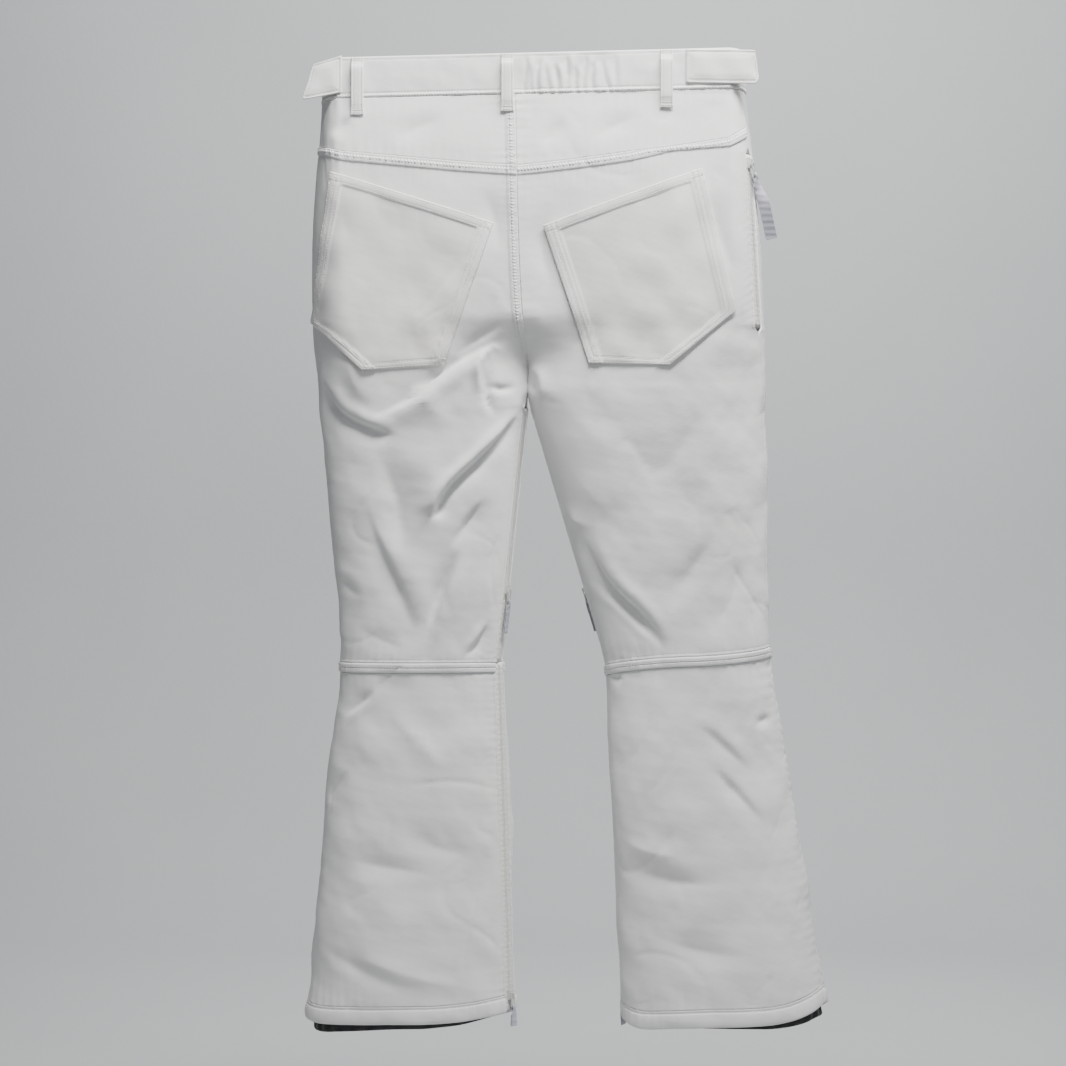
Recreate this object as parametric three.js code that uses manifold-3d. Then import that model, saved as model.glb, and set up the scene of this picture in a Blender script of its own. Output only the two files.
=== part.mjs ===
// Flared softshell ski pants, hanging by the waistband. Millimetres, +Z up, +X to the wearer's right, and
// the wearer faces +Y. The origin is the centre of the waist opening, level with the waistband's top edge.
// Each half of the garment is a surface that is cut by seams: level with a height, a section starts at the
// centre back seam (t = 0), runs round the outer side (t = PI) and ends at the centre front (t = 2 PI).
// Below the crotch the section closes on itself, and its start and end meet at the inner leg.
import * as THREE from "three";
import { mergeVertices } from "three/addons/utils/BufferGeometryUtils.js";
import Module from "manifold-3d";

const wasm = await Module();
wasm.setup();

// Driving heights, as drops below the waistband's top edge.
const WAISTBAND_HEIGHT = 46;
const SEAT_DROP = 130;
const HIP_DROP = 240;
const RISE = 377;
const THIGH_DROP = 515;
const KNEE_DROP = 684;
const CALF_DROP = 800;
const LENGTH = 1078;

// Driving widths and depths. The waist and hips are measured across both halves, a leg across itself.
const WAIST_WIDTH = 479;
const HIP_WIDTH = 512;
const SEAT_WIDTH = 507;
const TORSO_CENTRES = [1, 5, 9.5];
const CROTCH_X = -6;
const BACK_SEAM_X = [-20, -15];
const FRONT_SEAM_X = [20, 12];
const BACK_DEPTHS = [45, 54, 55, 52, 46, 38, 42, 54];
const FRONT_DEPTHS = [45, 49.5, 55, 52, 46, 38, 42, 54];
const CORNER_ROUNDS = [25, 42, 50];
const LEG_ROUNDNESS = 2.8;
const STRAIGHT_SHARE = 0.6;
const EDGE_SHARE = 0.3;
const CROTCH_BLEND = 88;

// Cloth, seams and clearances.
const CLOTH = 2.4;
const BAND_CLOTH = 4;
const SEAM_GAP = 0.5;
const EDGE_GAP = 0.3;
const TOUCH_GAP = 0.3;
const BAND_PROUD = 1.5;
const KNEE_BAND_HEIGHT = 11;
const HEM_BAND_HEIGHT = 20;
const WAIST_TILT = 0.025;
const YOKE_CURVE = 1.2;

// Zips: the slot between two cloth edges, the chain that fills it, and where each zip ends.
const SLOT_HALF = 8;
const SLOT_TAPER = 7;
const TAPE_BACK = -2;
const TAPE_FACE = -0.8;
const TOOTH_FACE = 0.4;
const TOOTH_WIDTH = 2;
const TOOTH_GROOVE = 0.3;
const VENT_TOP_DROP = RISE + 18;
const POCKET_ZIP_TOP = 112;
const POCKET_ZIP_LENGTH = 193;
const FLY_LENGTH = 180;
const SHIELD_HALF = 20;
const SHIELD_THICK = 1.6;

// Slider, puller and ribbon.
const SLIDER_LENGTH = 11;
const SLIDER_PLATE = 1.5;
const SLIDER_BEVEL = 0.6;
const RUNNING_GAP = 0.3;
const FLANGE = 1.2;
const BAIL_THICK = 1.6;
const BAIL_RADIUS = 2.2;
const BAIL_BORE = 1.3;
const BAIL_ROOT = 0.6;
const AXIS_LIFT = 1.9;
const PULLER_THICK = 1;
const PULLER_BAR = 0.6;
const PULLER_HALF = 3.3;
const PULLER_ARM = 1.2;
const PULLER_FLARE = 0.3;
const PULLER_CORNER = 1.5;
const WINDOW_END = 5.2;
const RIBBON_SLOT_TOP = 11.2;
const RIBBON_SLOT = 1.9;
const PULLER_LENGTH = 15;
const RIBBON_THICK = 1.8;
const RIBBON_WRAP = 1.1;
const RIBBON_SHOULDER = 6;
const POCKET_RIBBON = { length: 74, width: 13 };
const VENT_RIBBON = { length: 34, width: 9 };
const HEM_RIBBON = { length: 20, width: 9 };
const PULLER_TILT = 0.4;
const SLIDER_STOP = 10;
const VENT_STOP = 85;
const HEM_STOP = 20;

// Gaiters inside the hems.
const GAITER_HEIGHT = 150;
const GAITER_SHARES = [0.9, 0.6];
const GAITER_CLOTH = 1.6;
const GAITER_INSET = 10;
const GAITER_SEAM = 0.7;
const GAITER_HEM = 1;
const ELASTIC_HEIGHT = 8;
const ELASTIC_THICK = 1.5;

// Waist fittings.
const LOOP_WIDTH = 13.5;
const LOOP_THICK = 1.8;
const LOOP_ROOM = 4.6;
const LOOP_FOOT = 9;
const LOOP_DROP = 19;
const LOOP_BEND = 4;
const TAB_THICK = 2;
const FLY_OVERLAP = 21;
const OVERLAP_STEP = 5;
const SNAP_RADIUS = 7.5;
const SNAP_HEIGHT = 2.4;

// Back pockets.
const POCKET_ROOM = 6;
const POCKET_GAPE = 1;
const POCKET_CLOTH = 2;
const POCKET_LIFT = 0.4;

const BACK = 1;
const FRONT = -1;
const TURN = 2 * Math.PI;

// Each belt loop's place as a share of the waistband's straight run, from the wearer's left.
const BELT_LOOPS = [
  ["belt_loop_back_left", 0.042, BACK],
  ["belt_loop_back_centre", 0.431, BACK],
  ["belt_loop_back_right", 0.844, BACK],
  ["belt_loop_front_left", 0.183, FRONT],
  ["belt_loop_front_right", 0.824, FRONT],
];

// Each waist tab's outline: its first point is the sewn root, and the rest reach on from it.
const LEFT_TAB_ROOT = 0.5;
const LEFT_TAB = [[0, -12], [-22, -14], [-35, -19], [-43, -52], [-23, -48], [0, -43]];
const RIGHT_TAB_ROOT = -45.5;
const RIGHT_TAB = [[0, 3], [71, 2], [76, -1], [82, -31], [76, -36], [0, -34]];

// Pocket corners are shares across the seat and down from the yoke to the crotch. Turns are in radians,
// and each pair of drops is at the inner and the outer leg.
const LEFT = makeHalf({
  name: "left",
  side: -1,
  legCentres: [-123, -126.5, -127.5, -138],
  legWidths: [212, 185, 207, 236],
  kneeDrops: [KNEE_DROP - 3, KNEE_DROP - 3],
  hemDrops: [LENGTH - 25, LENGTH - 18],
  yokeDrops: [127, 93],
  seamTurns: [TURN - 2.55, TURN - 2.6, TURN - 2.85],
  zipTurns: [0.15, 0.35, 0.35],
  gaiterDrops: [4, 14],
  pocketCorners: [[0.117, 0.256], [0.908, 0.028], [0.993, 0.688], [0.761, 0.912], [0.385, 0.888]],
});
const RIGHT = makeHalf({
  name: "right",
  side: 1,
  legCentres: [151, 176, 186.5, 219],
  legWidths: [228, 186, 203, 236],
  kneeDrops: [KNEE_DROP + 3, KNEE_DROP - 20],
  hemDrops: [LENGTH - 15, LENGTH - 35],
  yokeDrops: [127, 82],
  seamTurns: [2.55, 2.6, 2.85],
  zipTurns: [-0.15, -0.35, -0.35],
  gaiterDrops: [3, 14],
  pocketCorners: [[0.101, 0.268], [0.767, 0.012], [0.863, 0.648], [0.588, 0.888], [0.26, 0.88]],
});

// The outline of one half at every height, worked out from its widths and centres.
function makeHalf(spec) {
  const torso = [-WAISTBAND_HEIGHT, -HIP_DROP, -RISE];
  const leg = [-THIGH_DROP, -KNEE_DROP, -CALF_DROP, -LENGTH];
  const depthHeights = [-WAISTBAND_HEIGHT, -SEAT_DROP, -HIP_DROP, -RISE, ...leg];
  const across = [WAIST_WIDTH, HIP_WIDTH, SEAT_WIDTH];
  const sides = across.map((width, i) => TORSO_CENTRES[i] + (spec.side * width) / 2);
  const outers = spec.legCentres.map((x, i) => x + (spec.side * spec.legWidths[i]) / 2);
  const inners = spec.legCentres.map((x, i) => x - (spec.side * spec.legWidths[i]) / 2);
  return {
    ...spec,
    outer: profile([...torso, ...leg], [...sides, ...outers]),
    inner: profile([-RISE, ...leg], [CROTCH_X, ...inners]),
    depth: profile(depthHeights, BACK_DEPTHS),
    frontDepth: profile(depthHeights, FRONT_DEPTHS),
    corner: profile(torso, CORNER_ROUNDS),
    backSeam: profile(torso, [...BACK_SEAM_X, CROTCH_X]),
    frontSeam: profile(torso, [...FRONT_SEAM_X, CROTCH_X]),
  };
}

// A smooth curve through values given at falling heights, level beyond both ends.
function profile(heights, values) {
  const last = heights.length - 1;
  const slope = (i) => {
    const above = Math.max(i - 1, 0);
    const below = Math.min(i + 1, last);
    return (values[below] - values[above]) / (heights[below] - heights[above]);
  };
  return (z) => {
    if (z >= heights[0]) return values[0];
    if (z <= heights[last]) return values[last];
    const i = heights.findIndex((height) => height <= z) - 1;
    const span = heights[i + 1] - heights[i];
    const u = (z - heights[i]) / span;
    const bend = u * u * (3 - 2 * u);
    const rise = u * (1 - u) * (1 - u) * span * slope(i);
    const fall = u * u * (u - 1) * span * slope(i + 1);
    return lerp(values[i], values[i + 1], bend) + rise + fall;
  };
}

function lerp(a, b, u) {
  return a + (b - a) * u;
}

function clamp01(u) {
  return Math.min(1, Math.max(0, u));
}

function smoothstep(u) {
  const c = clamp01(u);
  return c * c * (3 - 2 * c);
}

function signedPower(value, power) {
  return Math.sign(value) * Math.abs(value) ** power;
}

// The torso's section: straight across the back or front, with a round corner at the side.
function torsoSection(half, z, t) {
  const front = t > Math.PI;
  const u = (front ? TURN - t : t) / Math.PI;
  const seam = front ? half.frontSeam(z) : half.backSeam(z);
  const outer = half.outer(z);
  const depth = front ? half.frontDepth(z) : -half.depth(z);
  const corner = half.corner(z) * half.side;
  if (u < STRAIGHT_SHARE) return new THREE.Vector2(lerp(seam, outer - corner, u / STRAIGHT_SHARE), depth);
  const angle = ((u - STRAIGHT_SHARE) / (1 - STRAIGHT_SHARE)) * (Math.PI / 2);
  return new THREE.Vector2(outer - corner * (1 - Math.sin(angle)), depth * Math.cos(angle));
}

// A leg's section: a flattened oval.
function legSection(half, z, t) {
  const outer = half.outer(z);
  const inner = half.inner(z);
  const power = 2 / LEG_ROUNDNESS;
  const x = (outer + inner) / 2 - ((outer - inner) / 2) * signedPower(Math.cos(t), power);
  const depth = Math.sin(t) < 0 ? half.frontDepth(z) : half.depth(z);
  return new THREE.Vector2(x, -depth * signedPower(Math.sin(t), power));
}

function section(half, z, t) {
  const share = smoothstep((-z - (RISE - CROTCH_BLEND)) / CROTCH_BLEND);
  if (share === 0) return torsoSection(half, z, t);
  if (share === 1) return legSection(half, z, t);
  return torsoSection(half, z, t).lerp(legSection(half, z, t), share);
}

// The direction of growing t along a section, and the outward normal, from each other.
function along(half, normal) {
  return new THREE.Vector2(-normal.y, normal.x).multiplyScalar(half.side);
}

function outward(half, z, t) {
  const step = section(half, z, t + 1e-3).sub(section(half, z, t - 1e-3));
  return new THREE.Vector2(step.y, -step.x).multiplyScalar(half.side).normalize();
}

function speed(half, z, t) {
  return section(half, z, t + 1e-3).distanceTo(section(half, z, t - 1e-3)) / 2e-3;
}

// Straight lines that the zips follow. Their ends lie on the surface.
function zipLine(half, topDrop, topTurn, bottomDrop, bottomTurn) {
  const top = section(half, -topDrop, topTurn);
  const bottom = section(half, -bottomDrop, bottomTurn);
  const middle = -(topDrop + bottomDrop) / 2;
  const normal = outward(half, middle, (topTurn + bottomTurn) / 2);
  return { half, normal, top: [top.x, top.y, -topDrop], bottom: [bottom.x, bottom.y, -bottomDrop] };
}

function pointOn(line, z) {
  const u = (z - line.top[2]) / (line.bottom[2] - line.top[2]);
  return new THREE.Vector2(lerp(line.top[0], line.bottom[0], u), lerp(line.top[1], line.bottom[1], u));
}

function lineCovers(line, z) {
  return z <= line.top[2] && z >= line.bottom[2];
}

const POCKET_ZIP_BOTTOM = POCKET_ZIP_TOP + POCKET_ZIP_LENGTH;
const FLY_BOTTOM = WAISTBAND_HEIGHT + FLY_LENGTH;
const FLY = zipLine(LEFT, WAISTBAND_HEIGHT, TURN - 1e-3, FLY_BOTTOM, TURN - 1e-3);
for (const half of [LEFT, RIGHT]) {
  const [vent, knee, hem] = half.zipTurns;
  half.ventLine = zipLine(half, VENT_TOP_DROP, vent, half.kneeDrops[0], knee);
  half.shinLine = zipLine(half, half.kneeDrops[0], knee, LENGTH, hem);
  const turn = half.seamTurns[1];
  half.pocketLine = zipLine(half, POCKET_ZIP_TOP, turn, POCKET_ZIP_BOTTOM, turn);
}

// Half the gap between two cloth edges that meet along a seam: a slot beside a zip, else a sewn seam.
function slotHalf(z, topDrop, bottomDrop) {
  const outside = Math.max(z + topDrop, -bottomDrop - z, 0);
  return lerp(SLOT_HALF, SEAM_GAP / 2, clamp01(outside / SLOT_TAPER));
}

// The outer side seam, with the hand pocket's zip in its upper part.
function outerSeam(half, z) {
  const [waist, pocket, leg] = half.seamTurns;
  const low = (-z - POCKET_ZIP_BOTTOM) / (RISE - POCKET_ZIP_BOTTOM);
  const high = (-z - WAISTBAND_HEIGHT) / (POCKET_ZIP_TOP - WAISTBAND_HEIGHT);
  const t = z < half.pocketLine.top[2] ? lerp(pocket, leg, clamp01(low)) : lerp(waist, pocket, clamp01(high));
  const reach = slotHalf(z, POCKET_ZIP_TOP, POCKET_ZIP_BOTTOM);
  if (lineCovers(half.pocketLine, z)) {
    return { t, reach, centre: pointOn(half.pocketLine, z), normal: half.pocketLine.normal };
  }
  return { t, reach, centre: section(half, z, t), normal: outward(half, z, t) };
}

// The centre back or front seam above the crotch, and the inner leg's zips below it.
function innerSeam(half, face, z) {
  const start = face === BACK ? 0 : TURN;
  if (face === FRONT && lineCovers(FLY, z)) {
    return { t: start, reach: SLOT_HALF, centre: pointOn(FLY, z), normal: new THREE.Vector2(0, 1) };
  }
  if (z > -RISE) {
    const reach = face === FRONT ? slotHalf(z, 0, FLY_BOTTOM) : SEAM_GAP / 2;
    return { t: start, reach, centre: section(half, z, start), normal: outward(half, z, start) };
  }
  const [vent, knee, hem] = half.zipTurns;
  if (z > -VENT_TOP_DROP) {
    const u = (-z - RISE) / (VENT_TOP_DROP - RISE);
    const t = vent * u;
    const reach = lerp(SEAM_GAP / 2, SLOT_HALF, u);
    return { t: start + t, reach, centre: section(half, z, t), normal: outward(half, z, t) };
  }
  const thigh = z >= -half.kneeDrops[0];
  const line = thigh ? half.ventLine : half.shinLine;
  const u = clamp01((z - line.top[2]) / (line.bottom[2] - line.top[2]));
  const t = thigh ? lerp(vent, knee, u) : lerp(knee, hem, u);
  return { t: start + t, reach: SLOT_HALF, centre: pointOn(line, z), normal: line.normal };
}

// A point of the cloth's outer face and its level normal: s runs from the inner seam to the outer one.
function surface(half, face, s, z) {
  const a = innerSeam(half, face, z);
  const b = outerSeam(half, z);
  const startTurn = a.t + (face * a.reach) / speed(half, z, a.t);
  const endTurn = b.t - (face * b.reach) / speed(half, z, b.t);
  const t = lerp(startTurn, endTurn, s);
  const startEdge = a.centre.clone().addScaledVector(along(half, a.normal), face * a.reach);
  const endEdge = b.centre.clone().addScaledVector(along(half, b.normal), -face * b.reach);
  const nearStart = clamp01(1 - s / EDGE_SHARE) ** 2;
  const nearEnd = clamp01(1 - (1 - s) / EDGE_SHARE) ** 2;
  const point = section(half, z, t);
  point.addScaledVector(startEdge.sub(section(half, z, startTurn)), nearStart);
  point.addScaledVector(endEdge.sub(section(half, z, endTurn)), nearEnd);
  const normal = outward(half, z, t).multiplyScalar(1 - nearStart - nearEnd);
  normal.addScaledVector(a.normal, nearStart).addScaledVector(b.normal, nearEnd).normalize();
  return { x: point.x, y: point.y, z, nx: normal.x, ny: normal.y, t };
}

// Geometry helpers.
function closedGeometry(points, triangles) {
  const corner = (i) => new THREE.Vector3().fromArray(points, 3 * i);
  let volume = 0;
  for (let i = 0; i < triangles.length; i += 3) {
    volume += corner(triangles[i]).dot(corner(triangles[i + 1]).cross(corner(triangles[i + 2])));
  }
  const index = volume < 0 ? [...triangles].reverse() : triangles;
  const geometry = new THREE.BufferGeometry();
  geometry.setAttribute("position", new THREE.Float32BufferAttribute(points, 3));
  return geometry.setIndex(index);
}

// A closed skin over rows of samples, between two offsets along each sample's normal.
function skin(rows, outer, inner, ring = false) {
  const height = rows.length;
  const width = rows[0].length;
  const points = [];
  for (const offset of [outer, inner]) {
    rows.forEach((row, i) => {
      row.forEach((sample, j) => {
        const reach = offset(i, j);
        points.push(sample.x + sample.nx * reach, sample.y + sample.ny * reach, sample.z);
      });
    });
  }
  const at = (layer, i, j) => layer * height * width + i * width + (j % width);
  const triangles = [];
  const quad = (a, b, c, d) => triangles.push(a, b, c, a, c, d);
  const columns = ring ? width : width - 1;
  for (let i = 0; i < height - 1; i++) {
    for (let j = 0; j < columns; j++) {
      quad(at(0, i, j), at(0, i, j + 1), at(0, i + 1, j + 1), at(0, i + 1, j));
      quad(at(1, i, j), at(1, i + 1, j), at(1, i + 1, j + 1), at(1, i, j + 1));
    }
    if (!ring) {
      quad(at(0, i, 0), at(0, i + 1, 0), at(1, i + 1, 0), at(1, i, 0));
      quad(at(0, i, width - 1), at(1, i, width - 1), at(1, i + 1, width - 1), at(0, i + 1, width - 1));
    }
  }
  const bottom = height - 1;
  for (let j = 0; j < columns; j++) {
    quad(at(0, 0, j), at(1, 0, j), at(1, 0, j + 1), at(0, 0, j + 1));
    quad(at(0, bottom, j), at(0, bottom, j + 1), at(1, bottom, j + 1), at(1, bottom, j));
  }
  return closedGeometry(points, triangles);
}

// A prism of a profile [across, out] along a zip's line, with level ends.
function zipPrism(line, outline, top, bottom) {
  const side = along(line.half, line.normal);
  const points = [];
  for (const z of [top, bottom]) {
    const centre = pointOn(line, z);
    for (const [across, out] of outline) {
      const p = centre.clone().addScaledVector(side, across).addScaledVector(line.normal, out);
      points.push(p.x, p.y, z);
    }
  }
  const count = outline.length;
  const cap = THREE.ShapeUtils.triangulateShape(outline.map(([a, b]) => new THREE.Vector2(a, b)), []);
  const triangles = [];
  for (const [a, b, c] of cap) triangles.push(a, b, c, count + a, count + c, count + b);
  for (let i = 0; i < count; i++) {
    const next = (i + 1) % count;
    triangles.push(i, count + i, count + next, i, count + next, next);
  }
  return closedGeometry(points, triangles);
}

function toManifold(geometry) {
  const bare = geometry.clone();
  bare.deleteAttribute("normal");
  bare.deleteAttribute("uv");
  const merged = mergeVertices(bare, 1e-4);
  const vertProperties = new Float32Array(merged.attributes.position.array);
  const triVerts = new Uint32Array(merged.index.array);
  return new wasm.Manifold(new wasm.Mesh({ numProp: 3, vertProperties, triVerts }));
}

function toGeometry(manifold) {
  const mesh = manifold.getMesh();
  const geometry = new THREE.BufferGeometry();
  geometry.setAttribute("position", new THREE.Float32BufferAttribute(mesh.vertProperties, 3));
  return geometry.setIndex([...mesh.triVerts]);
}

// A flat outline, with holes, pushed out to a thickness that is centred on its plane.
function slab(outline, thickness, holes = []) {
  const shape = new THREE.Shape(outline.map(([x, y]) => new THREE.Vector2(x, y)));
  for (const hole of holes) shape.holes.push(new THREE.Path(hole.map(([x, y]) => new THREE.Vector2(x, y))));
  const geometry = new THREE.ExtrudeGeometry(shape, { depth: thickness, bevelEnabled: false });
  return geometry.translate(0, 0, -thickness / 2);
}

function arc(cx, cy, radius, from, to, steps) {
  const points = [];
  for (let i = 0; i <= steps; i++) {
    const angle = lerp(from, to, i / steps);
    points.push([cx + radius * Math.cos(angle), cy + radius * Math.sin(angle)]);
  }
  return points;
}

function rectangle(x0, y0, x1, y1) {
  return [
    [x0, y0],
    [x1, y0],
    [x1, y1],
    [x0, y1],
  ];
}

const pants = new THREE.Group();

function cloth(color) {
  return new THREE.MeshStandardMaterial({ color, roughness: 0.9, metalness: 0 });
}

const WHITE_CLOTH = cloth(0xe9e9ea);
const CREAM_CLOTH = cloth(0xe8e3dc);
const BLACK_CLOTH = cloth(0x101011);
const RIBBON_GREY = cloth(0xb4b4c0);
const TAPE_WHITE = cloth(0xe2e2e0);
const METAL = new THREE.MeshStandardMaterial({ color: 0xd8d8d6, roughness: 0.35, metalness: 0.6 });

function add(name, geometry, material) {
  const mesh = new THREE.Mesh(geometry, material.clone());
  mesh.name = name;
  pants.add(mesh);
  return mesh;
}

// Heights of the edges between pieces, by s from the inner seam to the outer one.
const bandX = (half, face, s) => surface(half, face, s, -WAISTBAND_HEIGHT).x;
const bandBottom = (half, face) => (s) => WAIST_TILT * bandX(half, face, s) - WAISTBAND_HEIGHT;
const yokeEdge = (half) => (s) => -lerp(half.yokeDrops[0], half.yokeDrops[1], s ** YOKE_CURVE);
const kneeEdge = (half) => (s) => -lerp(half.kneeDrops[0], half.kneeDrops[1], s);
const hemEdge = (half) => (s) => -lerp(half.hemDrops[0], half.hemDrops[1], s);
const lowered = (edge, drop) => (s) => edge(s) - drop;

// Samples along one level of a panel, whose height is given by s.
const PANEL_SHARES = [0, 0.06, 0.14, 0.24, 0.36, 0.5, 0.62, 0.72, 0.8, 0.88, 0.94, 1];
function panelRow(half, face, edge) {
  return PANEL_SHARES.map((s) => surface(half, face, s, edge(s)));
}

// Rows through a list of levels, each with the number of equal steps down to the next one.
function panelRows(half, face, levels) {
  const rows = [];
  levels.forEach(([edge, steps], i) => {
    const next = levels[i + 1];
    if (!next) return rows.push(panelRow(half, face, edge));
    for (let k = 0; k < steps; k++) {
      rows.push(panelRow(half, face, (s) => lerp(edge(s), next[0](s), k / steps)));
    }
  });
  return rows;
}

// A level that runs straight between a drop at the inner seam and one at the outer seam.
const level = (inner, outer) => (s) => -lerp(inner, outer, s);

// Levels that both faces share: the foot of the hand pocket's zip, the crotch and the vent's top.
function lowerLevels(half, knee) {
  const blend = RISE - CROTCH_BLEND;
  return [
    [level(blend, POCKET_ZIP_BOTTOM), 1],
    [level(blend + SLOT_TAPER, POCKET_ZIP_BOTTOM + SLOT_TAPER), 4],
    [level(RISE, RISE), 1],
    [level(VENT_TOP_DROP, VENT_TOP_DROP), 5],
    [knee, 1],
  ];
}

const sheetOuter = () => 0;
const sheetInner = () => -CLOTH;

function addPanels(half) {
  const gap = EDGE_GAP / 2;
  const zipTop = POCKET_ZIP_TOP;
  const kneeTop = lowered(kneeEdge(half), -gap);
  const yokeRows = panelRows(half, BACK, [
    [lowered(bandBottom(half, BACK), gap), 3],
    [lowered(yokeEdge(half), -gap), 1],
  ]);
  add(`yoke_${half.name}`, skin(yokeRows, sheetOuter, sheetInner), WHITE_CLOTH);
  const [yokeDrop] = half.yokeDrops;
  const back = panelRows(half, BACK, [
    [lowered(yokeEdge(half), gap), 1],
    [level(yokeDrop + SLOT_TAPER, zipTop - SLOT_TAPER), 1],
    [level(yokeDrop + 2 * SLOT_TAPER, zipTop), 3],
    ...lowerLevels(half, kneeTop),
  ]);
  add(`back_panel_${half.name}`, skin(back, sheetOuter, sheetInner), WHITE_CLOTH);
  addPocket(half, skin(back, () => POCKET_LIFT, () => -4 * CLOTH));
  const front = panelRows(half, FRONT, [
    [lowered(bandBottom(half, FRONT), gap), 1],
    [level(zipTop - SLOT_TAPER, zipTop - SLOT_TAPER), 1],
    [level(zipTop, zipTop), 2],
    [level(FLY_BOTTOM, FLY_BOTTOM), 1],
    [level(FLY_BOTTOM + SLOT_TAPER, FLY_BOTTOM + SLOT_TAPER), 1],
    ...lowerLevels(half, kneeTop),
  ]);
  add(`front_panel_${half.name}`, skin(front, sheetOuter, sheetInner), WHITE_CLOTH);
  for (const [face, word] of [[BACK, "back"], [FRONT, "front"]]) {
    const rows = panelRows(half, face, [
      [lowered(kneeEdge(half), KNEE_BAND_HEIGHT + gap), 5],
      [lowered(hemEdge(half), -gap), 1],
    ]);
    add(`shin_${word}_${half.name}`, skin(rows, sheetOuter, sheetInner), WHITE_CLOTH);
  }
}

// A band round a leg, open at the inner zip.
function ringRow(half, edge) {
  return [...panelRow(half, BACK, edge), ...panelRow(half, FRONT, edge).reverse()];
}

function addBands(half) {
  const gap = EDGE_GAP / 2;
  const knee = kneeEdge(half);
  const kneeRows = [ringRow(half, lowered(knee, gap)), ringRow(half, lowered(knee, KNEE_BAND_HEIGHT - gap))];
  const kneeBand = skin(kneeRows, () => BAND_PROUD, () => -CLOTH);
  add(`knee_band_${half.name}`, kneeBand, WHITE_CLOTH);
  const hem = hemEdge(half);
  const hemRows = [ringRow(half, lowered(hem, gap)), ringRow(half, lowered(hem, HEM_BAND_HEIGHT))];
  const hemBand = skin(hemRows, () => BAND_PROUD, () => -CLOTH);
  add(`hem_band_${half.name}`, hemBand, WHITE_CLOTH);
}

// A black tube inside the lower leg, sewn in at its top and hanging just below the hem.
function addGaiter(half) {
  const foot = (s) => hemEdge(half)(s) - HEM_BAND_HEIGHT - lerp(half.gaiterDrops[0], half.gaiterDrops[1], s);
  const raised = (lift) => ringRow(half, (s) => foot(s) + lift);
  const elasticTop = GAITER_HEM + ELASTIC_HEIGHT;
  const [seamFoot, slope] = GAITER_SHARES.map((share) => share * GAITER_HEIGHT);
  const lifts = [GAITER_HEIGHT, seamFoot, slope, elasticTop, GAITER_HEM, 0];
  const sewn = CLOTH + GAITER_SEAM;
  const insets = [sewn, sewn + 1, ...Array(lifts.length - 2).fill(GAITER_INSET)];
  const tube = skin(lifts.map(raised), (i) => -insets[i], (i) => -insets[i] - GAITER_CLOTH, true);
  add(`gaiter_${half.name}`, tube, BLACK_CLOTH);
  const depth = GAITER_INSET + GAITER_CLOTH + TOUCH_GAP;
  const elasticRows = [elasticTop, GAITER_HEM].map(raised);
  const elastic = skin(elasticRows, () => -depth, () => -depth - ELASTIC_THICK, true);
  add(`gaiter_elastic_${half.name}`, elastic, BLACK_CLOTH);
}

// The waistband: one piece behind, and two in front that lap over each other at the fly.
function waistSample(half, t) {
  const p = section(half, -WAISTBAND_HEIGHT, t);
  const n = outward(half, -WAISTBAND_HEIGHT, t);
  return { x: p.x, y: p.y, nx: n.x, ny: n.y };
}

// Where the waist's straight run ends and its corner starts.
function flatEnd(half) {
  return half.outer(-WAISTBAND_HEIGHT) - half.corner(-WAISTBAND_HEIGHT) * half.side;
}

function frontTurn(half, x) {
  const seam = half.frontSeam(-WAISTBAND_HEIGHT);
  return TURN - ((x - seam) / (flatEnd(half) - seam)) * STRAIGHT_SHARE * Math.PI;
}

function waistRows(samples) {
  const place = (drop) => samples.map((s) => ({ ...s, z: WAIST_TILT * s.x - drop }));
  return [place(0), place(WAISTBAND_HEIGHT)];
}

function seamTurn(half, way) {
  const t = half.seamTurns[0];
  return t + (way * EDGE_GAP) / speed(half, -WAISTBAND_HEIGHT, t);
}

function turnsBetween(from, to, steps) {
  return Array.from({ length: steps + 1 }, (_, i) => lerp(from, to, i / steps));
}

// Turns round a corner: from the side seam past the corner to where the straight run starts.
function cornerTurns(half, from, to) {
  const straight = to < Math.PI ? STRAIGHT_SHARE * Math.PI : TURN - STRAIGHT_SHARE * Math.PI;
  return [...turnsBetween(from, straight, 7), to];
}

function addWaistband() {
  const leftBack = cornerTurns(LEFT, seamTurn(LEFT, -1), 1e-3).map((t) => waistSample(LEFT, t));
  const rightBack = cornerTurns(RIGHT, seamTurn(RIGHT, -1), 1e-3).map((t) => waistSample(RIGHT, t));
  const back = waistRows([...leftBack.slice(0, -1), ...rightBack.slice(0, -1).reverse()]);
  add("waistband_back", skin(back, () => 0, () => -BAND_CLOTH), WHITE_CLOTH);
  const centre = LEFT.frontSeam(-WAISTBAND_HEIGHT);
  const under = frontTurn(RIGHT, centre - FLY_OVERLAP + 1);
  const right = cornerTurns(RIGHT, seamTurn(RIGHT, 1), under).map((t) => waistSample(RIGHT, t));
  add("waistband_front_right", skin(waistRows(right), () => 0, () => -BAND_CLOTH), WHITE_CLOTH);
  const step = frontTurn(LEFT, centre - FLY_OVERLAP - OVERLAP_STEP);
  const left = cornerTurns(LEFT, seamTurn(LEFT, 1), step);
  const flat = left.length;
  left.push(frontTurn(LEFT, centre - FLY_OVERLAP), frontTurn(LEFT, centre + FLY_OVERLAP));
  const lift = (i, j) => (j < flat ? 0 : BAND_CLOTH + TOUCH_GAP);
  const rows = waistRows(left.map((t) => waistSample(LEFT, t)));
  const leftBand = skin(rows, lift, (i, j) => lift(i, j) - BAND_CLOTH);
  add("waistband_front_left", leftBand, WHITE_CLOTH);
}

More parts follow.
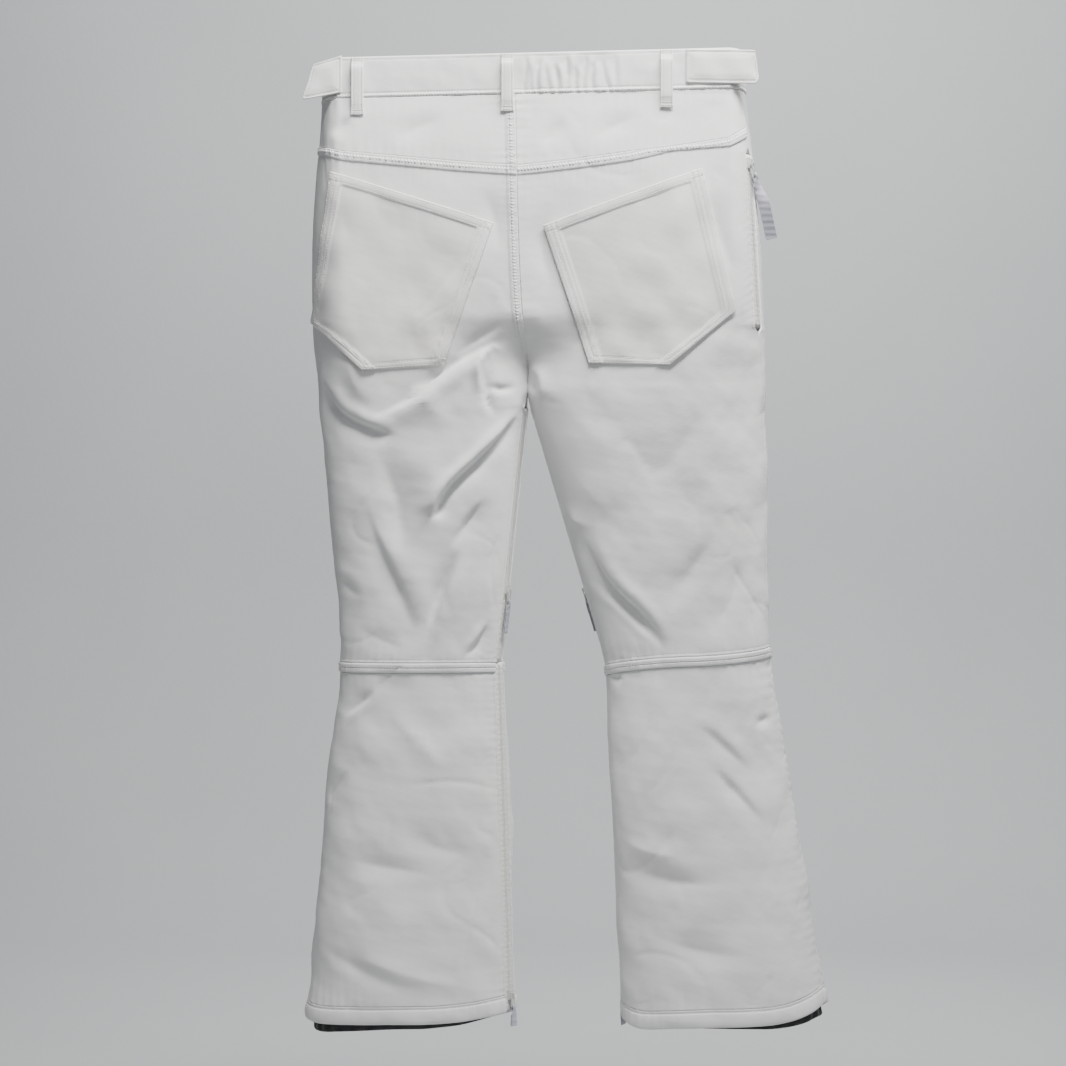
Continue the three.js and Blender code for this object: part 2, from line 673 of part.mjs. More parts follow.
// A press snap through the lapped front waistband: a domed cap outside and a flat stud inside.
function addSnap() {
  const x = LEFT.frontSeam(-WAISTBAND_HEIGHT);
  const z = WAIST_TILT * x - WAISTBAND_HEIGHT / 2;
  const face = LEFT.depth(0);
  const dome = [
    [0, 0],
    [SNAP_RADIUS, 0],
    [SNAP_RADIUS, SNAP_HEIGHT * 0.4],
    [SNAP_RADIUS * 0.8, SNAP_HEIGHT * 0.8],
    [SNAP_RADIUS * 0.4, SNAP_HEIGHT],
    [0, SNAP_HEIGHT],
  ];
  const disc = (points) => new THREE.LatheGeometry(points.map(([r, h]) => new THREE.Vector2(r, h)), 16);
  const cap = toGeometry(toManifold(disc(dome)));
  add("fly_snap_cap", cap.translate(x, face + BAND_CLOTH + 2 * TOUCH_GAP, z), METAL);
  const plate = [
    [0, 0],
    [SNAP_RADIUS * 0.8, 0],
    [SNAP_RADIUS * 0.8, SNAP_HEIGHT * 0.5],
    [0, SNAP_HEIGHT * 0.5],
  ];
  const stud = toGeometry(toManifold(disc(plate)));
  stud.rotateX(Math.PI);
  add("fly_snap_stud", stud.translate(x, face - BAND_CLOTH - TOUCH_GAP, z), METAL);
}

// A strap that stands off the waistband: its feet are sewn at the band's top and below its lower edge.
function addBeltLoops() {
  for (const [name, share, face] of BELT_LOOPS) {
    const x = lerp(flatEnd(LEFT), flatEnd(RIGHT), share);
    const half = x < 0 ? LEFT : RIGHT;
    const top = WAIST_TILT * x - 1;
    const bottom = top - WAISTBAND_HEIGHT - LOOP_DROP;
    const wall = half.depth(0) + TOUCH_GAP;
    const foot = (face === BACK ? half.depth(bottom) : half.frontDepth(bottom)) + TOUCH_GAP;
    const room = half.depth(0) + LOOP_ROOM;
    const outline = [
      [wall, top],
      [wall, top - LOOP_FOOT + LOOP_BEND / 2],
      [room, top - LOOP_FOOT - LOOP_BEND / 2],
      [room, bottom + LOOP_FOOT + LOOP_BEND / 2],
      [foot, bottom + LOOP_FOOT - LOOP_BEND / 2],
      [foot, bottom],
      [foot + LOOP_THICK, bottom],
      [foot + LOOP_THICK, bottom + LOOP_FOOT - LOOP_BEND],
      [room + LOOP_THICK, bottom + LOOP_FOOT],
      [room + LOOP_THICK, top - LOOP_FOOT],
      [wall + LOOP_THICK, top],
    ];
    const strap = slab(outline, LOOP_WIDTH);
    strap.rotateX(Math.PI / 2).rotateZ(face === BACK ? -Math.PI / 2 : Math.PI / 2);
    add(name, strap.translate(x, 0, 0), CREAM_CLOTH);
  }
}

// Hook-and-loop tabs, sewn at the root and lying straight on past the corner of the waistband.
function addWaistTabs() {
  const y = -LEFT.depth(0) - TOUCH_GAP - TAB_THICK / 2;
  const tabs = [
    ["waist_tab_left", flatEnd(LEFT) + LEFT_TAB_ROOT, LEFT_TAB],
    ["waist_tab_right", flatEnd(RIGHT) + RIGHT_TAB_ROOT, RIGHT_TAB],
  ];
  for (const [name, x, outline] of tabs) {
    const tab = slab(outline, TAB_THICK).rotateX(Math.PI / 2).translate(x, y, 0);
    const mesh = add(name, tab, CREAM_CLOTH);
    mesh.userData.hinge = { point: [x, y, 0], axis: [0, 0, 1] };
  }
}

// The back's turn at a place across the seat.
function turnAt(half, z, x) {
  let [low, high] = [0, Math.PI];
  for (let i = 0; i < 40; i++) {
    const middle = (low + high) / 2;
    const past = half.side * (section(half, z, middle).x - x) > 0;
    [low, high] = past ? [low, middle] : [middle, high];
  }
  return low;
}

function onBack(half, x, z) {
  const a = innerSeam(half, BACK, z);
  const b = outerSeam(half, z);
  const startTurn = a.t + a.reach / speed(half, z, a.t);
  const endTurn = b.t - b.reach / speed(half, z, b.t);
  return surface(half, BACK, (turnAt(half, z, x) - startTurn) / (endTurn - startTurn), z);
}

// A patch pocket: a sheet sewn down along its sides and foot, and standing off the seat at its open top.
// It is trimmed by the seat panel under it, grown by the small gap between them.
function addPocket(half, grownPanel) {
  const corners = half.pocketCorners.map(([across, down]) => {
    const z = -lerp(half.yokeDrops[0], RISE, down);
    return [lerp(half.backSeam(z), half.outer(z), across), z];
  });
  const [innerTop, outerTop, outerSide, outerFoot, innerFoot] = corners;
  const acrosses = [0, 0.06, 0.1, 0.3, 0.5, 0.64, 0.74, 0.81, 0.87, 0.91, 0.95, 1];
  const downs = [0, 0.25, 0.5, 0.62, 0.72, 0.8, 0.88, 0.93, 1];
  const sideShare = 0.72;
  const mix = (a, b, u) => [lerp(a[0], b[0], u), lerp(a[1], b[1], u)];
  const rows = downs.map((v) => {
    const inside = mix(innerTop, innerFoot, v);
    const upper = mix(outerTop, outerSide, v / sideShare);
    const lower = mix(outerSide, outerFoot, (v - sideShare) / (1 - sideShare));
    const outside = v < sideShare ? upper : lower;
    return acrosses.map((u) => onBack(half, ...mix(inside, outside, u)));
  });
  const sewn = (i, j) => i >= downs.length - 2 || j <= 1 || j >= acrosses.length - 2;
  const room = (i) => POCKET_ROOM + (i === 0 ? POCKET_GAPE : 0);
  const inner = (i, j) => (sewn(i, j) ? -1 : room(i));
  const outer = (i, j) => (sewn(i, j) ? POCKET_LIFT : room(i)) + POCKET_CLOTH;
  const pocket = toManifold(skin(rows, outer, inner)).subtract(toManifold(grownPanel));
  add(`back_pocket_${half.name}`, toGeometry(pocket), CREAM_CLOTH);
}

// Zips. A chain is a tape with two rows of teeth, and its slider runs on the teeth.
function addChain(name, line, top, bottom) {
  const edge = SLOT_HALF - EDGE_GAP;
  const tooth = TOOTH_GROOVE + TOOTH_WIDTH;
  const outline = [
    [-edge, TAPE_BACK],
    [edge, TAPE_BACK],
    [edge, TAPE_FACE],
    [tooth, TAPE_FACE],
    [tooth, TOOTH_FACE],
    [TOOTH_GROOVE, TOOTH_FACE],
    [TOOTH_GROOVE, TAPE_FACE],
    [-TOOTH_GROOVE, TAPE_FACE],
    [-TOOTH_GROOVE, TOOTH_FACE],
    [-tooth, TOOTH_FACE],
    [-tooth, TAPE_FACE],
    [-edge, TAPE_FACE],
  ];
  add(name, zipPrism(line, outline, top, bottom), TAPE_WHITE);
}

// The frame of a zip's line: up along it, out from the cloth, and across.
function lineFrame(line) {
  const up = new THREE.Vector3(...line.top).sub(new THREE.Vector3(...line.bottom)).normalize();
  const level = new THREE.Vector3(line.normal.x, line.normal.y, 0);
  const out = level.addScaledVector(up, -level.dot(up)).normalize();
  const across = new THREE.Vector3().crossVectors(up, out);
  return { up, out, across };
}

function sliderGeometry(line, z) {
  const tooth = TOOTH_GROOVE + TOOTH_WIDTH + RUNNING_GAP;
  const under = TOOTH_FACE + RUNNING_GAP;
  const foot = TAPE_FACE + RUNNING_GAP;
  const plateTop = under + SLIDER_PLATE;
  const wide = tooth + FLANGE;
  const outline = [
    [-wide, foot],
    [-tooth, foot],
    [-tooth, under],
    [tooth, under],
    [tooth, foot],
    [wide, foot],
    [wide, plateTop - SLIDER_BEVEL],
    [wide - SLIDER_BEVEL, plateTop],
    [SLIDER_BEVEL - wide, plateTop],
    [-wide, plateTop - SLIDER_BEVEL],
  ];
  const body = toManifold(zipPrism(line, outline, z + SLIDER_LENGTH / 2, z - SLIDER_LENGTH / 2));
  const { up, out, across } = lineFrame(line);
  const centre = pointOn(line, z);
  const bailOutline = [
    [-BAIL_RADIUS, plateTop - BAIL_ROOT],
    [BAIL_RADIUS, plateTop - BAIL_ROOT],
    ...arc(0, plateTop + AXIS_LIFT, BAIL_RADIUS, 0, Math.PI, 8),
  ];
  const bore = arc(0, plateTop + AXIS_LIFT, BAIL_BORE, 0, TURN, 12).slice(0, -1);
  const bail = slab(bailOutline, BAIL_THICK, [bore]);
  const basis = new THREE.Matrix4().makeBasis(up, out, up.clone().cross(out));
  bail.applyMatrix4(basis).translate(centre.x, centre.y, z);
  const axisPoint = new THREE.Vector3(centre.x, centre.y, z).addScaledVector(out, plateTop + AXIS_LIFT);
  return { geometry: toGeometry(body.add(toManifold(bail))), axisPoint, up, out, across };
}

// A puller hangs from the slider's bail: a bar through the bail, a window round it and a slot for a ribbon.
function pullerGeometry() {
  const half = PULLER_HALF;
  const outline = [
    [-half, PULLER_BAR],
    [-half, -WINDOW_END - 1],
    [-half - PULLER_FLARE, PULLER_CORNER - PULLER_LENGTH],
    [PULLER_CORNER - half, -PULLER_LENGTH],
    [half - PULLER_CORNER, -PULLER_LENGTH],
    [half + PULLER_FLARE, PULLER_CORNER - PULLER_LENGTH],
    [half, -WINDOW_END - 1],
    [half, PULLER_BAR],
  ];
  const inside = half - PULLER_ARM;
  const window = rectangle(-inside, -WINDOW_END, inside, -PULLER_BAR);
  const slotBottom = -RIBBON_SLOT_TOP - RIBBON_SLOT;
  const slot = rectangle(-inside - PULLER_FLARE, slotBottom, inside + PULLER_FLARE, -RIBBON_SLOT_TOP);
  return slab(outline, PULLER_THICK, [window, slot]);
}

// A doubled ribbon that is looped round the puller's lower bar.
function ribbonGeometry({ length, width }) {
  const neck = PULLER_HALF - PULLER_ARM;
  const top = -RIBBON_SLOT_TOP - TOUCH_GAP;
  const bar = -RIBBON_SLOT_TOP - RIBBON_SLOT;
  const shoulder = -PULLER_LENGTH - RIBBON_SHOULDER;
  const end = -PULLER_LENGTH - length;
  const front = slab(
    [
      [-neck, top],
      [-neck, -PULLER_LENGTH],
      [-width / 2, shoulder],
      [-width / 2, end],
      [width / 2, end],
      [width / 2, shoulder],
      [neck, -PULLER_LENGTH],
      [neck, top],
    ],
    2 * width,
  );
  const wrap = PULLER_THICK / 2 + TOUCH_GAP + RIBBON_WRAP;
  const flat = RIBBON_THICK / 2;
  const side = slab(
    [
      [-wrap, top],
      [-wrap, -PULLER_LENGTH - 1],
      [-flat, shoulder],
      [-flat, end],
      [flat, end],
      [flat, shoulder],
      [wrap, -PULLER_LENGTH - 1],
      [wrap, top],
    ],
    2 * width,
  );
  side.rotateY(Math.PI / 2);
  const room = PULLER_THICK / 2 + TOUCH_GAP;
  const hole = slab(rectangle(-width, -PULLER_LENGTH - TOUCH_GAP, width, bar + TOUCH_GAP), 2 * room);
  return toGeometry(toManifold(front).intersect(toManifold(side)).subtract(toManifold(hole)));
}

// A slider with its puller and ribbon. The puller may hang at a tilt across the zip.
function addSlider(zip, side, line, z, ribbon, tilt = 0) {
  const { geometry, axisPoint, up, out, across } = sliderGeometry(line, z);
  const slider = add(`${zip}_slider${side}`, geometry, METAL);
  slider.userData.slide = { axis: up.toArray() };
  const basis = new THREE.Matrix4().makeBasis(across, up, across.clone().cross(up));
  const place = new THREE.Matrix4().makeTranslation(axisPoint.x, axisPoint.y, axisPoint.z);
  place.multiply(basis).multiply(new THREE.Matrix4().makeRotationZ(tilt));
  const puller = add(`${zip}_puller${side}`, pullerGeometry().applyMatrix4(place), METAL);
  const hang = new THREE.Vector3(0, -1, 0).transformDirection(place);
  puller.userData.hinge = { point: axisPoint.toArray(), axis: hang.cross(out).toArray() };
  if (ribbon) add(`${zip}_ribbon${side}`, ribbonGeometry(ribbon).applyMatrix4(place), RIBBON_GREY);
}

function addZips(half) {
  const gap = EDGE_GAP / 2;
  const { ventLine, shinLine, pocketLine, name } = half;
  addChain(`pocket_zip_${name}`, pocketLine, -POCKET_ZIP_TOP - gap, -POCKET_ZIP_BOTTOM + gap);
  addChain(`vent_zip_${name}`, ventLine, -VENT_TOP_DROP - gap, -half.kneeDrops[0] + gap);
  const hemFoot = half.hemDrops[0] + HEM_BAND_HEIGHT;
  addChain(`shin_zip_${name}`, shinLine, -half.kneeDrops[0] - gap, -hemFoot);
  const pocketTilt = half === RIGHT ? PULLER_TILT : 0;
  addSlider("pocket", `_${name}`, pocketLine, -POCKET_ZIP_TOP - SLIDER_STOP, POCKET_RIBBON, pocketTilt);
  addSlider("vent", `_${name}`, ventLine, -KNEE_DROP + VENT_STOP, VENT_RIBBON);
  addSlider("shin", `_${name}`, shinLine, -hemFoot + HEM_STOP, HEM_RIBBON);
}

function addFly() {
  const gap = EDGE_GAP / 2;
  const top = -WAISTBAND_HEIGHT - 1;
  addChain("fly_zip", FLY, top, -FLY_BOTTOM + gap);
  addSlider("fly", "", FLY, top - SLIDER_STOP, null);
  const back = -CLOTH - TOUCH_GAP;
  const shield = rectangle(-SHIELD_HALF, back - SHIELD_THICK, SHIELD_HALF, back);
  add("fly_shield", zipPrism(FLY, shield, top, -FLY_BOTTOM), WHITE_CLOTH);
}

addWaistband();
addSnap();
addBeltLoops();
addWaistTabs();
for (const half of [LEFT, RIGHT]) {
  addPanels(half);
  addBands(half);
  addGaiter(half);
  addZips(half);
}
addFly();

export default pants;
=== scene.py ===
"""White flared ski pants hanging from their waistband, seen from behind.

Each half of the garment is one surface that seams cut into pieces. Lengths here are millimetres until
a mesh is made. A point of the surface is named by its half, its height z and its turn t round the body:
t = 0 is the centre back, pi the outer side and 2 pi the centre front.
"""

import math

import bmesh
import bpy
import numpy as np
from mathutils import Matrix, Vector


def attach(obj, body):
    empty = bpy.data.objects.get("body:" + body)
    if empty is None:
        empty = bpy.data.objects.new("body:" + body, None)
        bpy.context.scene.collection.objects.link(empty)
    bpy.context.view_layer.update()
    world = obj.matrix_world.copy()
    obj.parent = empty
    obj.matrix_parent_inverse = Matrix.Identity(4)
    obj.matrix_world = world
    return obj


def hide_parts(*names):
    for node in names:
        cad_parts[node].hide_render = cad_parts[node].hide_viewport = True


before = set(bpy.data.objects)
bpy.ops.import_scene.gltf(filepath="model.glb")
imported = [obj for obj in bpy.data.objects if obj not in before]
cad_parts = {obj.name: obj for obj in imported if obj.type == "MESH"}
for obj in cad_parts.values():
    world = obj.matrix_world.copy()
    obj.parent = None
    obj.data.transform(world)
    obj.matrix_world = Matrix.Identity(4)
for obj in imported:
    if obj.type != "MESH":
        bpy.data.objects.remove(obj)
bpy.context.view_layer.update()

MM = 0.001
TURN = 2 * math.pi
BACK = 1
FRONT = -1

# Driving heights, widths and depths: the same as the frame's.
WAISTBAND_HEIGHT, SEAT_DROP, HIP_DROP, RISE = 46, 130, 240, 377
THIGH_DROP, KNEE_DROP, CALF_DROP, LENGTH = 515, 684, 800, 1078
WAIST_WIDTH, HIP_WIDTH, SEAT_WIDTH = 479, 512, 507
TORSO_CENTRES = [1, 5, 9.5]
CROTCH_X = -6
BACK_SEAM_X = [-20, -15]
FRONT_SEAM_X = [20, 12]
BACK_DEPTHS = [45, 54, 55, 52, 46, 38, 42, 54]
FRONT_DEPTHS = [45, 49.5, 55, 52, 46, 38, 42, 54]
CORNER_ROUNDS = [25, 42, 50]
LEG_ROUNDNESS = 2.8
STRAIGHT_SHARE = 0.6
EDGE_SHARE = 0.3
CROTCH_BLEND = 88

# Cloth, seams and bands.
CLOTH = 2.4
BAND_CLOTH = 4
SEAM_GAP = 0.5
EDGE_GAP = 0.3
KNEE_BAND_HEIGHT = 11
HEM_BAND_HEIGHT = 20
WAIST_TILT = 0.025
YOKE_CURVE = 1.2
FELL = 10.5
STEP = 2.6

# Zips.
SLOT_HALF = 8
SLOT_TAPER = 7
TAPE_FACE = -0.8
TOOTH_FACE = 0.4
TOOTH_PITCH = 1.7
TOOTH_RADIUS = 0.62
VENT_TOP_DROP = RISE + 18
POCKET_ZIP_TOP = 112
POCKET_ZIP_BOTTOM = POCKET_ZIP_TOP + 193
FLY_BOTTOM = WAISTBAND_HEIGHT + 180
FLY_OVERLAP = 21
PULLER_LENGTH = 15
AXIS_RISE = 4.1
SLIDER_STOP, VENT_STOP, HEM_STOP = 10, 85, 20
PULLER_TILT = 0.4

# Gaiters and pockets.
GAITER_HEIGHT = 150
GAITER_INSET = 10
POCKET_BAND = 15
POCKET_MOUTH_BAND = 11
HEM_STITCH = 17
GATHER = 2.6


def lerp(a, b, u):
    return a + (b - a) * u


def clamp01(u):
    return np.clip(u, 0, 1)


def smoothstep(u):
    c = clamp01(u)
    return c * c * (3 - 2 * c)


def unit(vectors):
    return vectors / np.linalg.norm(vectors, axis=-1, keepdims=True)


def signed_power(value, power):
    return np.sign(value) * np.abs(value) ** power


def profile(heights, values):
    """A smooth curve through values at falling heights, level beyond both ends."""
    heights = np.array(heights, float)
    values = np.array(values, float)
    last = len(heights) - 1
    above = np.maximum(np.arange(last + 1) - 1, 0)
    below = np.minimum(np.arange(last + 1) + 1, last)
    slopes = (values[below] - values[above]) / (heights[below] - heights[above])

    def curve(z):
        z = np.clip(np.asarray(z, float), heights[-1], heights[0])
        i = np.clip(np.searchsorted(-heights, -z, side="left") - 1, 0, last - 1)
        span = heights[i + 1] - heights[i]
        u = (z - heights[i]) / span
        bend = u * u * (3 - 2 * u)
        rise = u * (1 - u) ** 2 * span * slopes[i]
        fall = u * u * (u - 1) * span * slopes[i + 1]
        return lerp(values[i], values[i + 1], bend) + rise + fall

    return curve


class Half:
    """One half of the garment: its outline at every height and where its seams run.

    A pair of drops is given at the inner and the outer side. sag is how much lower the hem hangs
    between them, and gaiters is how far the gaiter's foot hangs below the hem.
    """

    def __init__(self, name, side, centres, widths, knees, hems, sag, yokes, seams, zips, gaiters, pocket):
        torso = [-WAISTBAND_HEIGHT, -HIP_DROP, -RISE]
        leg = [-THIGH_DROP, -KNEE_DROP, -CALF_DROP, -LENGTH]
        depths = [-WAISTBAND_HEIGHT, -SEAT_DROP, -HIP_DROP, -RISE] + leg
        across = zip(TORSO_CENTRES, [WAIST_WIDTH, HIP_WIDTH, SEAT_WIDTH])
        sides = [centre + side * width / 2 for centre, width in across]
        outers = [x + side * w / 2 for x, w in zip(centres, widths)]
        inners = [x - side * w / 2 for x, w in zip(centres, widths)]
        self.name, self.side = name, side
        self.knees, self.hems, self.sag, self.yokes = knees, hems, sag, yokes
        self.seams, self.zips, self.gaiters, self.pocket = seams, zips, gaiters, pocket
        self.outer = profile(torso + leg, sides + outers)
        self.inner = profile([-RISE] + leg, [CROTCH_X] + inners)
        self.back_depth = profile(depths, BACK_DEPTHS)
        self.front_depth = profile(depths, FRONT_DEPTHS)
        self.corner = profile(torso, CORNER_ROUNDS)
        self.back_seam = profile(torso, BACK_SEAM_X + [CROTCH_X])
        self.front_seam = profile(torso, FRONT_SEAM_X + [CROTCH_X])


LEFT = Half(
    "left", -1,
    centres=[-123, -126.5, -127.5, -138],
    widths=[212, 185, 207, 236],
    knees=(KNEE_DROP - 3, KNEE_DROP - 3),
    hems=(LENGTH - 25, LENGTH - 18),
    sag=6,
    yokes=(127, 93),
    seams=(TURN - 2.55, TURN - 2.6, TURN - 2.85),
    zips=(0.15, 0.35, 0.35),
    gaiters=(2, 15),
    pocket=[(0.117, 0.256), (0.908, 0.028), (0.993, 0.688), (0.761, 0.912), (0.385, 0.888)],
)
RIGHT = Half(
    "right", 1,
    centres=[151, 176, 186.5, 219],
    widths=[228, 186, 203, 236],
    knees=(KNEE_DROP + 3, KNEE_DROP - 20),
    hems=(LENGTH - 15, LENGTH - 35),
    sag=13,
    yokes=(127, 82),
    seams=(2.55, 2.6, 2.85),
    zips=(-0.15, -0.35, -0.35),
    gaiters=(-14, 16),
    pocket=[(0.101, 0.268), (0.767, 0.012), (0.863, 0.648), (0.588, 0.888), (0.26, 0.88)],
)


def torso_section(half, z, t):
    """The outline above the crotch: flat behind and before, with a round corner at the side."""
    front = t > math.pi
    u = np.where(front, TURN - t, t) / math.pi
    seam = np.where(front, half.front_seam(z), half.back_seam(z))
    outer = half.outer(z)
    depth = np.where(front, half.front_depth(z), -half.back_depth(z))
    corner = half.corner(z) * half.side
    angle = (u - STRAIGHT_SHARE) / (1 - STRAIGHT_SHARE) * (math.pi / 2)
    straight = u < STRAIGHT_SHARE
    flat_x = lerp(seam, outer - corner, u / STRAIGHT_SHARE)
    round_x = outer - corner * (1 - np.sin(angle))
    return np.where(straight, flat_x, round_x), np.where(straight, depth, depth * np.cos(angle))


def leg_section(half, z, t):
    """The outline of a leg, a rounded oval."""
    outer, inner = half.outer(z), half.inner(z)
    power = 2 / LEG_ROUNDNESS
    x = (outer + inner) / 2 - (outer - inner) / 2 * signed_power(np.cos(t), power)
    depth = np.where(np.sin(t) < 0, half.front_depth(z), half.back_depth(z))
    return x, -depth * signed_power(np.sin(t), power)


def section(half, z, t):
    """The (x, y) of the surface. The two outlines blend above the crotch."""
    z, t = np.broadcast_arrays(np.asarray(z, float), np.asarray(t, float))
    share = smoothstep((-z - (RISE - CROTCH_BLEND)) / CROTCH_BLEND)
    torso_x, torso_y = torso_section(half, z, t)
    leg_x, leg_y = leg_section(half, z, t)
    return np.stack([lerp(torso_x, leg_x, share), lerp(torso_y, leg_y, share)], -1)


def outward(half, z, t):
    """The level direction out of the cloth."""
    step = section(half, z, t + 1e-3) - section(half, z, t - 1e-3)
    normal = np.stack([step[..., 1], -step[..., 0]], -1) * half.side
    return normal / np.maximum(np.linalg.norm(normal, axis=-1, keepdims=True), 1e-9)


def speed(half, z, t):
    """Millimetres round the body for each unit of turn."""
    return np.linalg.norm(section(half, z, t + 1e-3) - section(half, z, t - 1e-3), axis=-1) / 2e-3


def along(half, normal):
    """The level direction round the body, the way that t grows."""
    return np.stack([-normal[..., 1], normal[..., 0]], -1) * half.side


class ZipLine:
    """The straight line of a zip. Its ends lie on the garment's surface."""

    def __init__(self, half, top_drop, top_turn, bottom_drop, bottom_turn):
        self.half = half
        self.top_z, self.bottom_z = -top_drop, -bottom_drop
        self.top = section(half, -top_drop, top_turn)
        self.bottom = section(half, -bottom_drop, bottom_turn)
        self.normal = outward(half, -(top_drop + bottom_drop) / 2, (top_turn + bottom_turn) / 2)
        self.side = along(half, self.normal)

    def point(self, z):
        u = (np.asarray(z, float) - self.top_z) / (self.bottom_z - self.top_z)
        return self.top + (self.bottom - self.top) * u[..., None]

    def covers(self, z):
        return (z <= self.top_z) & (z >= self.bottom_z)

    def frame(self):
        """Up along the zip, out from the cloth, and across."""
        up = Vector((*(self.top - self.bottom), self.top_z - self.bottom_z)).normalized()
        level = Vector((*self.normal, 0))
        out = (level - up * level.dot(up)).normalized()
        return up, out, up.cross(out)


FLY = ZipLine(LEFT, WAISTBAND_HEIGHT, TURN - 1e-3, FLY_BOTTOM, TURN - 1e-3)
for half in (LEFT, RIGHT):
    vent_turn, knee_turn, hem_turn = half.zips
    half.vent_line = ZipLine(half, VENT_TOP_DROP, vent_turn, half.knees[0], knee_turn)
    half.shin_line = ZipLine(half, half.knees[0], knee_turn, LENGTH, hem_turn)
    half.pocket_line = ZipLine(half, POCKET_ZIP_TOP, half.seams[1], POCKET_ZIP_BOTTOM, half.seams[1])


def slot_half(z, top_drop, bottom_drop):
    """Half the gap between two panels: a zip's slot between two heights, which tapers to a seam."""
    outside = np.maximum(np.maximum(z + top_drop, -bottom_drop - z), 0)
    return lerp(SLOT_HALF, SEAM_GAP / 2, clamp01(outside / SLOT_TAPER))


def outer_seam(half, z):
    """The side seam's turn, half gap, centre and normal at each height."""
    waist, pocket, leg = half.seams
    low = (-z - POCKET_ZIP_BOTTOM) / (RISE - POCKET_ZIP_BOTTOM)
    high = (-z - WAISTBAND_HEIGHT) / (POCKET_ZIP_TOP - WAISTBAND_HEIGHT)
    below = z < half.pocket_line.top_z
    t = np.where(below, lerp(pocket, leg, clamp01(low)), lerp(waist, pocket, clamp01(high)))
    reach = slot_half(z, POCKET_ZIP_TOP, POCKET_ZIP_BOTTOM)
    zipped = half.pocket_line.covers(z)[..., None]
    centre = np.where(zipped, half.pocket_line.point(z), section(half, z, t))
    return t, reach, centre, np.where(zipped, half.pocket_line.normal, outward(half, z, t))


def inner_seam(half, face, z):
    """The same for the centre seam above the crotch and the inner leg's zips below it."""
    start = 0.0 if face == BACK else TURN
    vent, knee, hem = half.zips
    blend = clamp01((-z - RISE) / (VENT_TOP_DROP - RISE))
    thigh = clamp01((z - half.vent_line.top_z) / (half.vent_line.bottom_z - half.vent_line.top_z))
    shin = clamp01((z - half.shin_line.top_z) / (half.shin_line.bottom_z - half.shin_line.top_z))
    on_thigh = z >= -half.knees[0]
    turn = np.where(on_thigh, lerp(vent, knee, thigh), lerp(knee, hem, shin))
    open_seam = z > -VENT_TOP_DROP
    turn = np.where(open_seam, vent * blend, turn)
    sewn = slot_half(z, 0, FLY_BOTTOM) if face == FRONT else np.full_like(z, SEAM_GAP / 2)
    reach = np.where(z > -RISE, sewn, lerp(SEAM_GAP / 2, SLOT_HALF, blend))
    base = np.where(z > -RISE, start, turn)
    line_point = np.where(on_thigh[..., None], half.vent_line.point(z), half.shin_line.point(z))
    line_normal = np.where(on_thigh[..., None], half.vent_line.normal, half.shin_line.normal)
    zipped = ~open_seam[..., None]
    centre = np.where(zipped, line_point, section(half, z, base))
    normal = np.where(zipped, line_normal, outward(half, z, base))
    if face == FRONT:
        fly = FLY.covers(z)[..., None]
        centre = np.where(fly, FLY.point(z), centre)
        normal = np.where(fly, np.array([0.0, 1.0]), normal)
    return np.where(z > -RISE, start, start + turn), reach, centre, normal


def surface(half, face, s, z):
    """Points of the cloth's outer face and their level normals: s runs from the inner seam outwards."""
    s, z = np.broadcast_arrays(np.asarray(s, float), np.asarray(z, float))
    a_t, a_reach, a_centre, a_normal = inner_seam(half, face, z)
    b_t, b_reach, b_centre, b_normal = outer_seam(half, z)
    start_turn = a_t + face * a_reach / speed(half, z, a_t)
    end_turn = b_t - face * b_reach / speed(half, z, b_t)
    t = lerp(start_turn, end_turn, s)
    start_edge = a_centre + along(half, a_normal) * (face * a_reach)[..., None]
    end_edge = b_centre - along(half, b_normal) * (face * b_reach)[..., None]
    near_start = (clamp01(1 - s / EDGE_SHARE) ** 2)[..., None]
    near_end = (clamp01(1 - (1 - s) / EDGE_SHARE) ** 2)[..., None]
    point = section(half, z, t)
    point = point + (start_edge - section(half, z, start_turn)) * near_start
    point = point + (end_edge - section(half, z, end_turn)) * near_end
    normal = outward(half, z, t) * (1 - near_start - near_end) + a_normal * near_start + b_normal * near_end
    normal = unit(normal)
    level = np.zeros_like(z)
    points = np.stack([point[..., 0], point[..., 1], z], -1)
    return points, np.stack([normal[..., 0], normal[..., 1], level], -1)


def smooth_line(points, steps=5):
    """A Catmull-Rom curve through the points."""
    p = np.array(points, float)
    padded = np.vstack([2 * p[0] - p[1], p, 2 * p[-1] - p[-2]])
    out = []
    for i in range(1, len(padded) - 2):
        a, b, c, d = padded[i - 1 : i + 3]
        for k in range(steps):
            u = k / steps
            square, cube = 2 * a - 5 * b + 4 * c - d, 3 * b - a - 3 * c + d
            out.append(0.5 * (2 * b + (c - a) * u + square * u**2 + cube * u**3))
    return np.array(out + [p[-1]])


def fold(depth, width, *points, lip=0.0, ends=(0.45, 0.45)):
    """A fold along given (x, z) points. A negative depth is a valley.

    lip is the share of the depth that a ridge beside it has, on the left of the line where it is
    positive. ends are the shares of the line's length in which the fold fades at its two ends.
    """
    return dict(line=smooth_line(points), depth=depth, width=width, lip=lip, ends=ends)


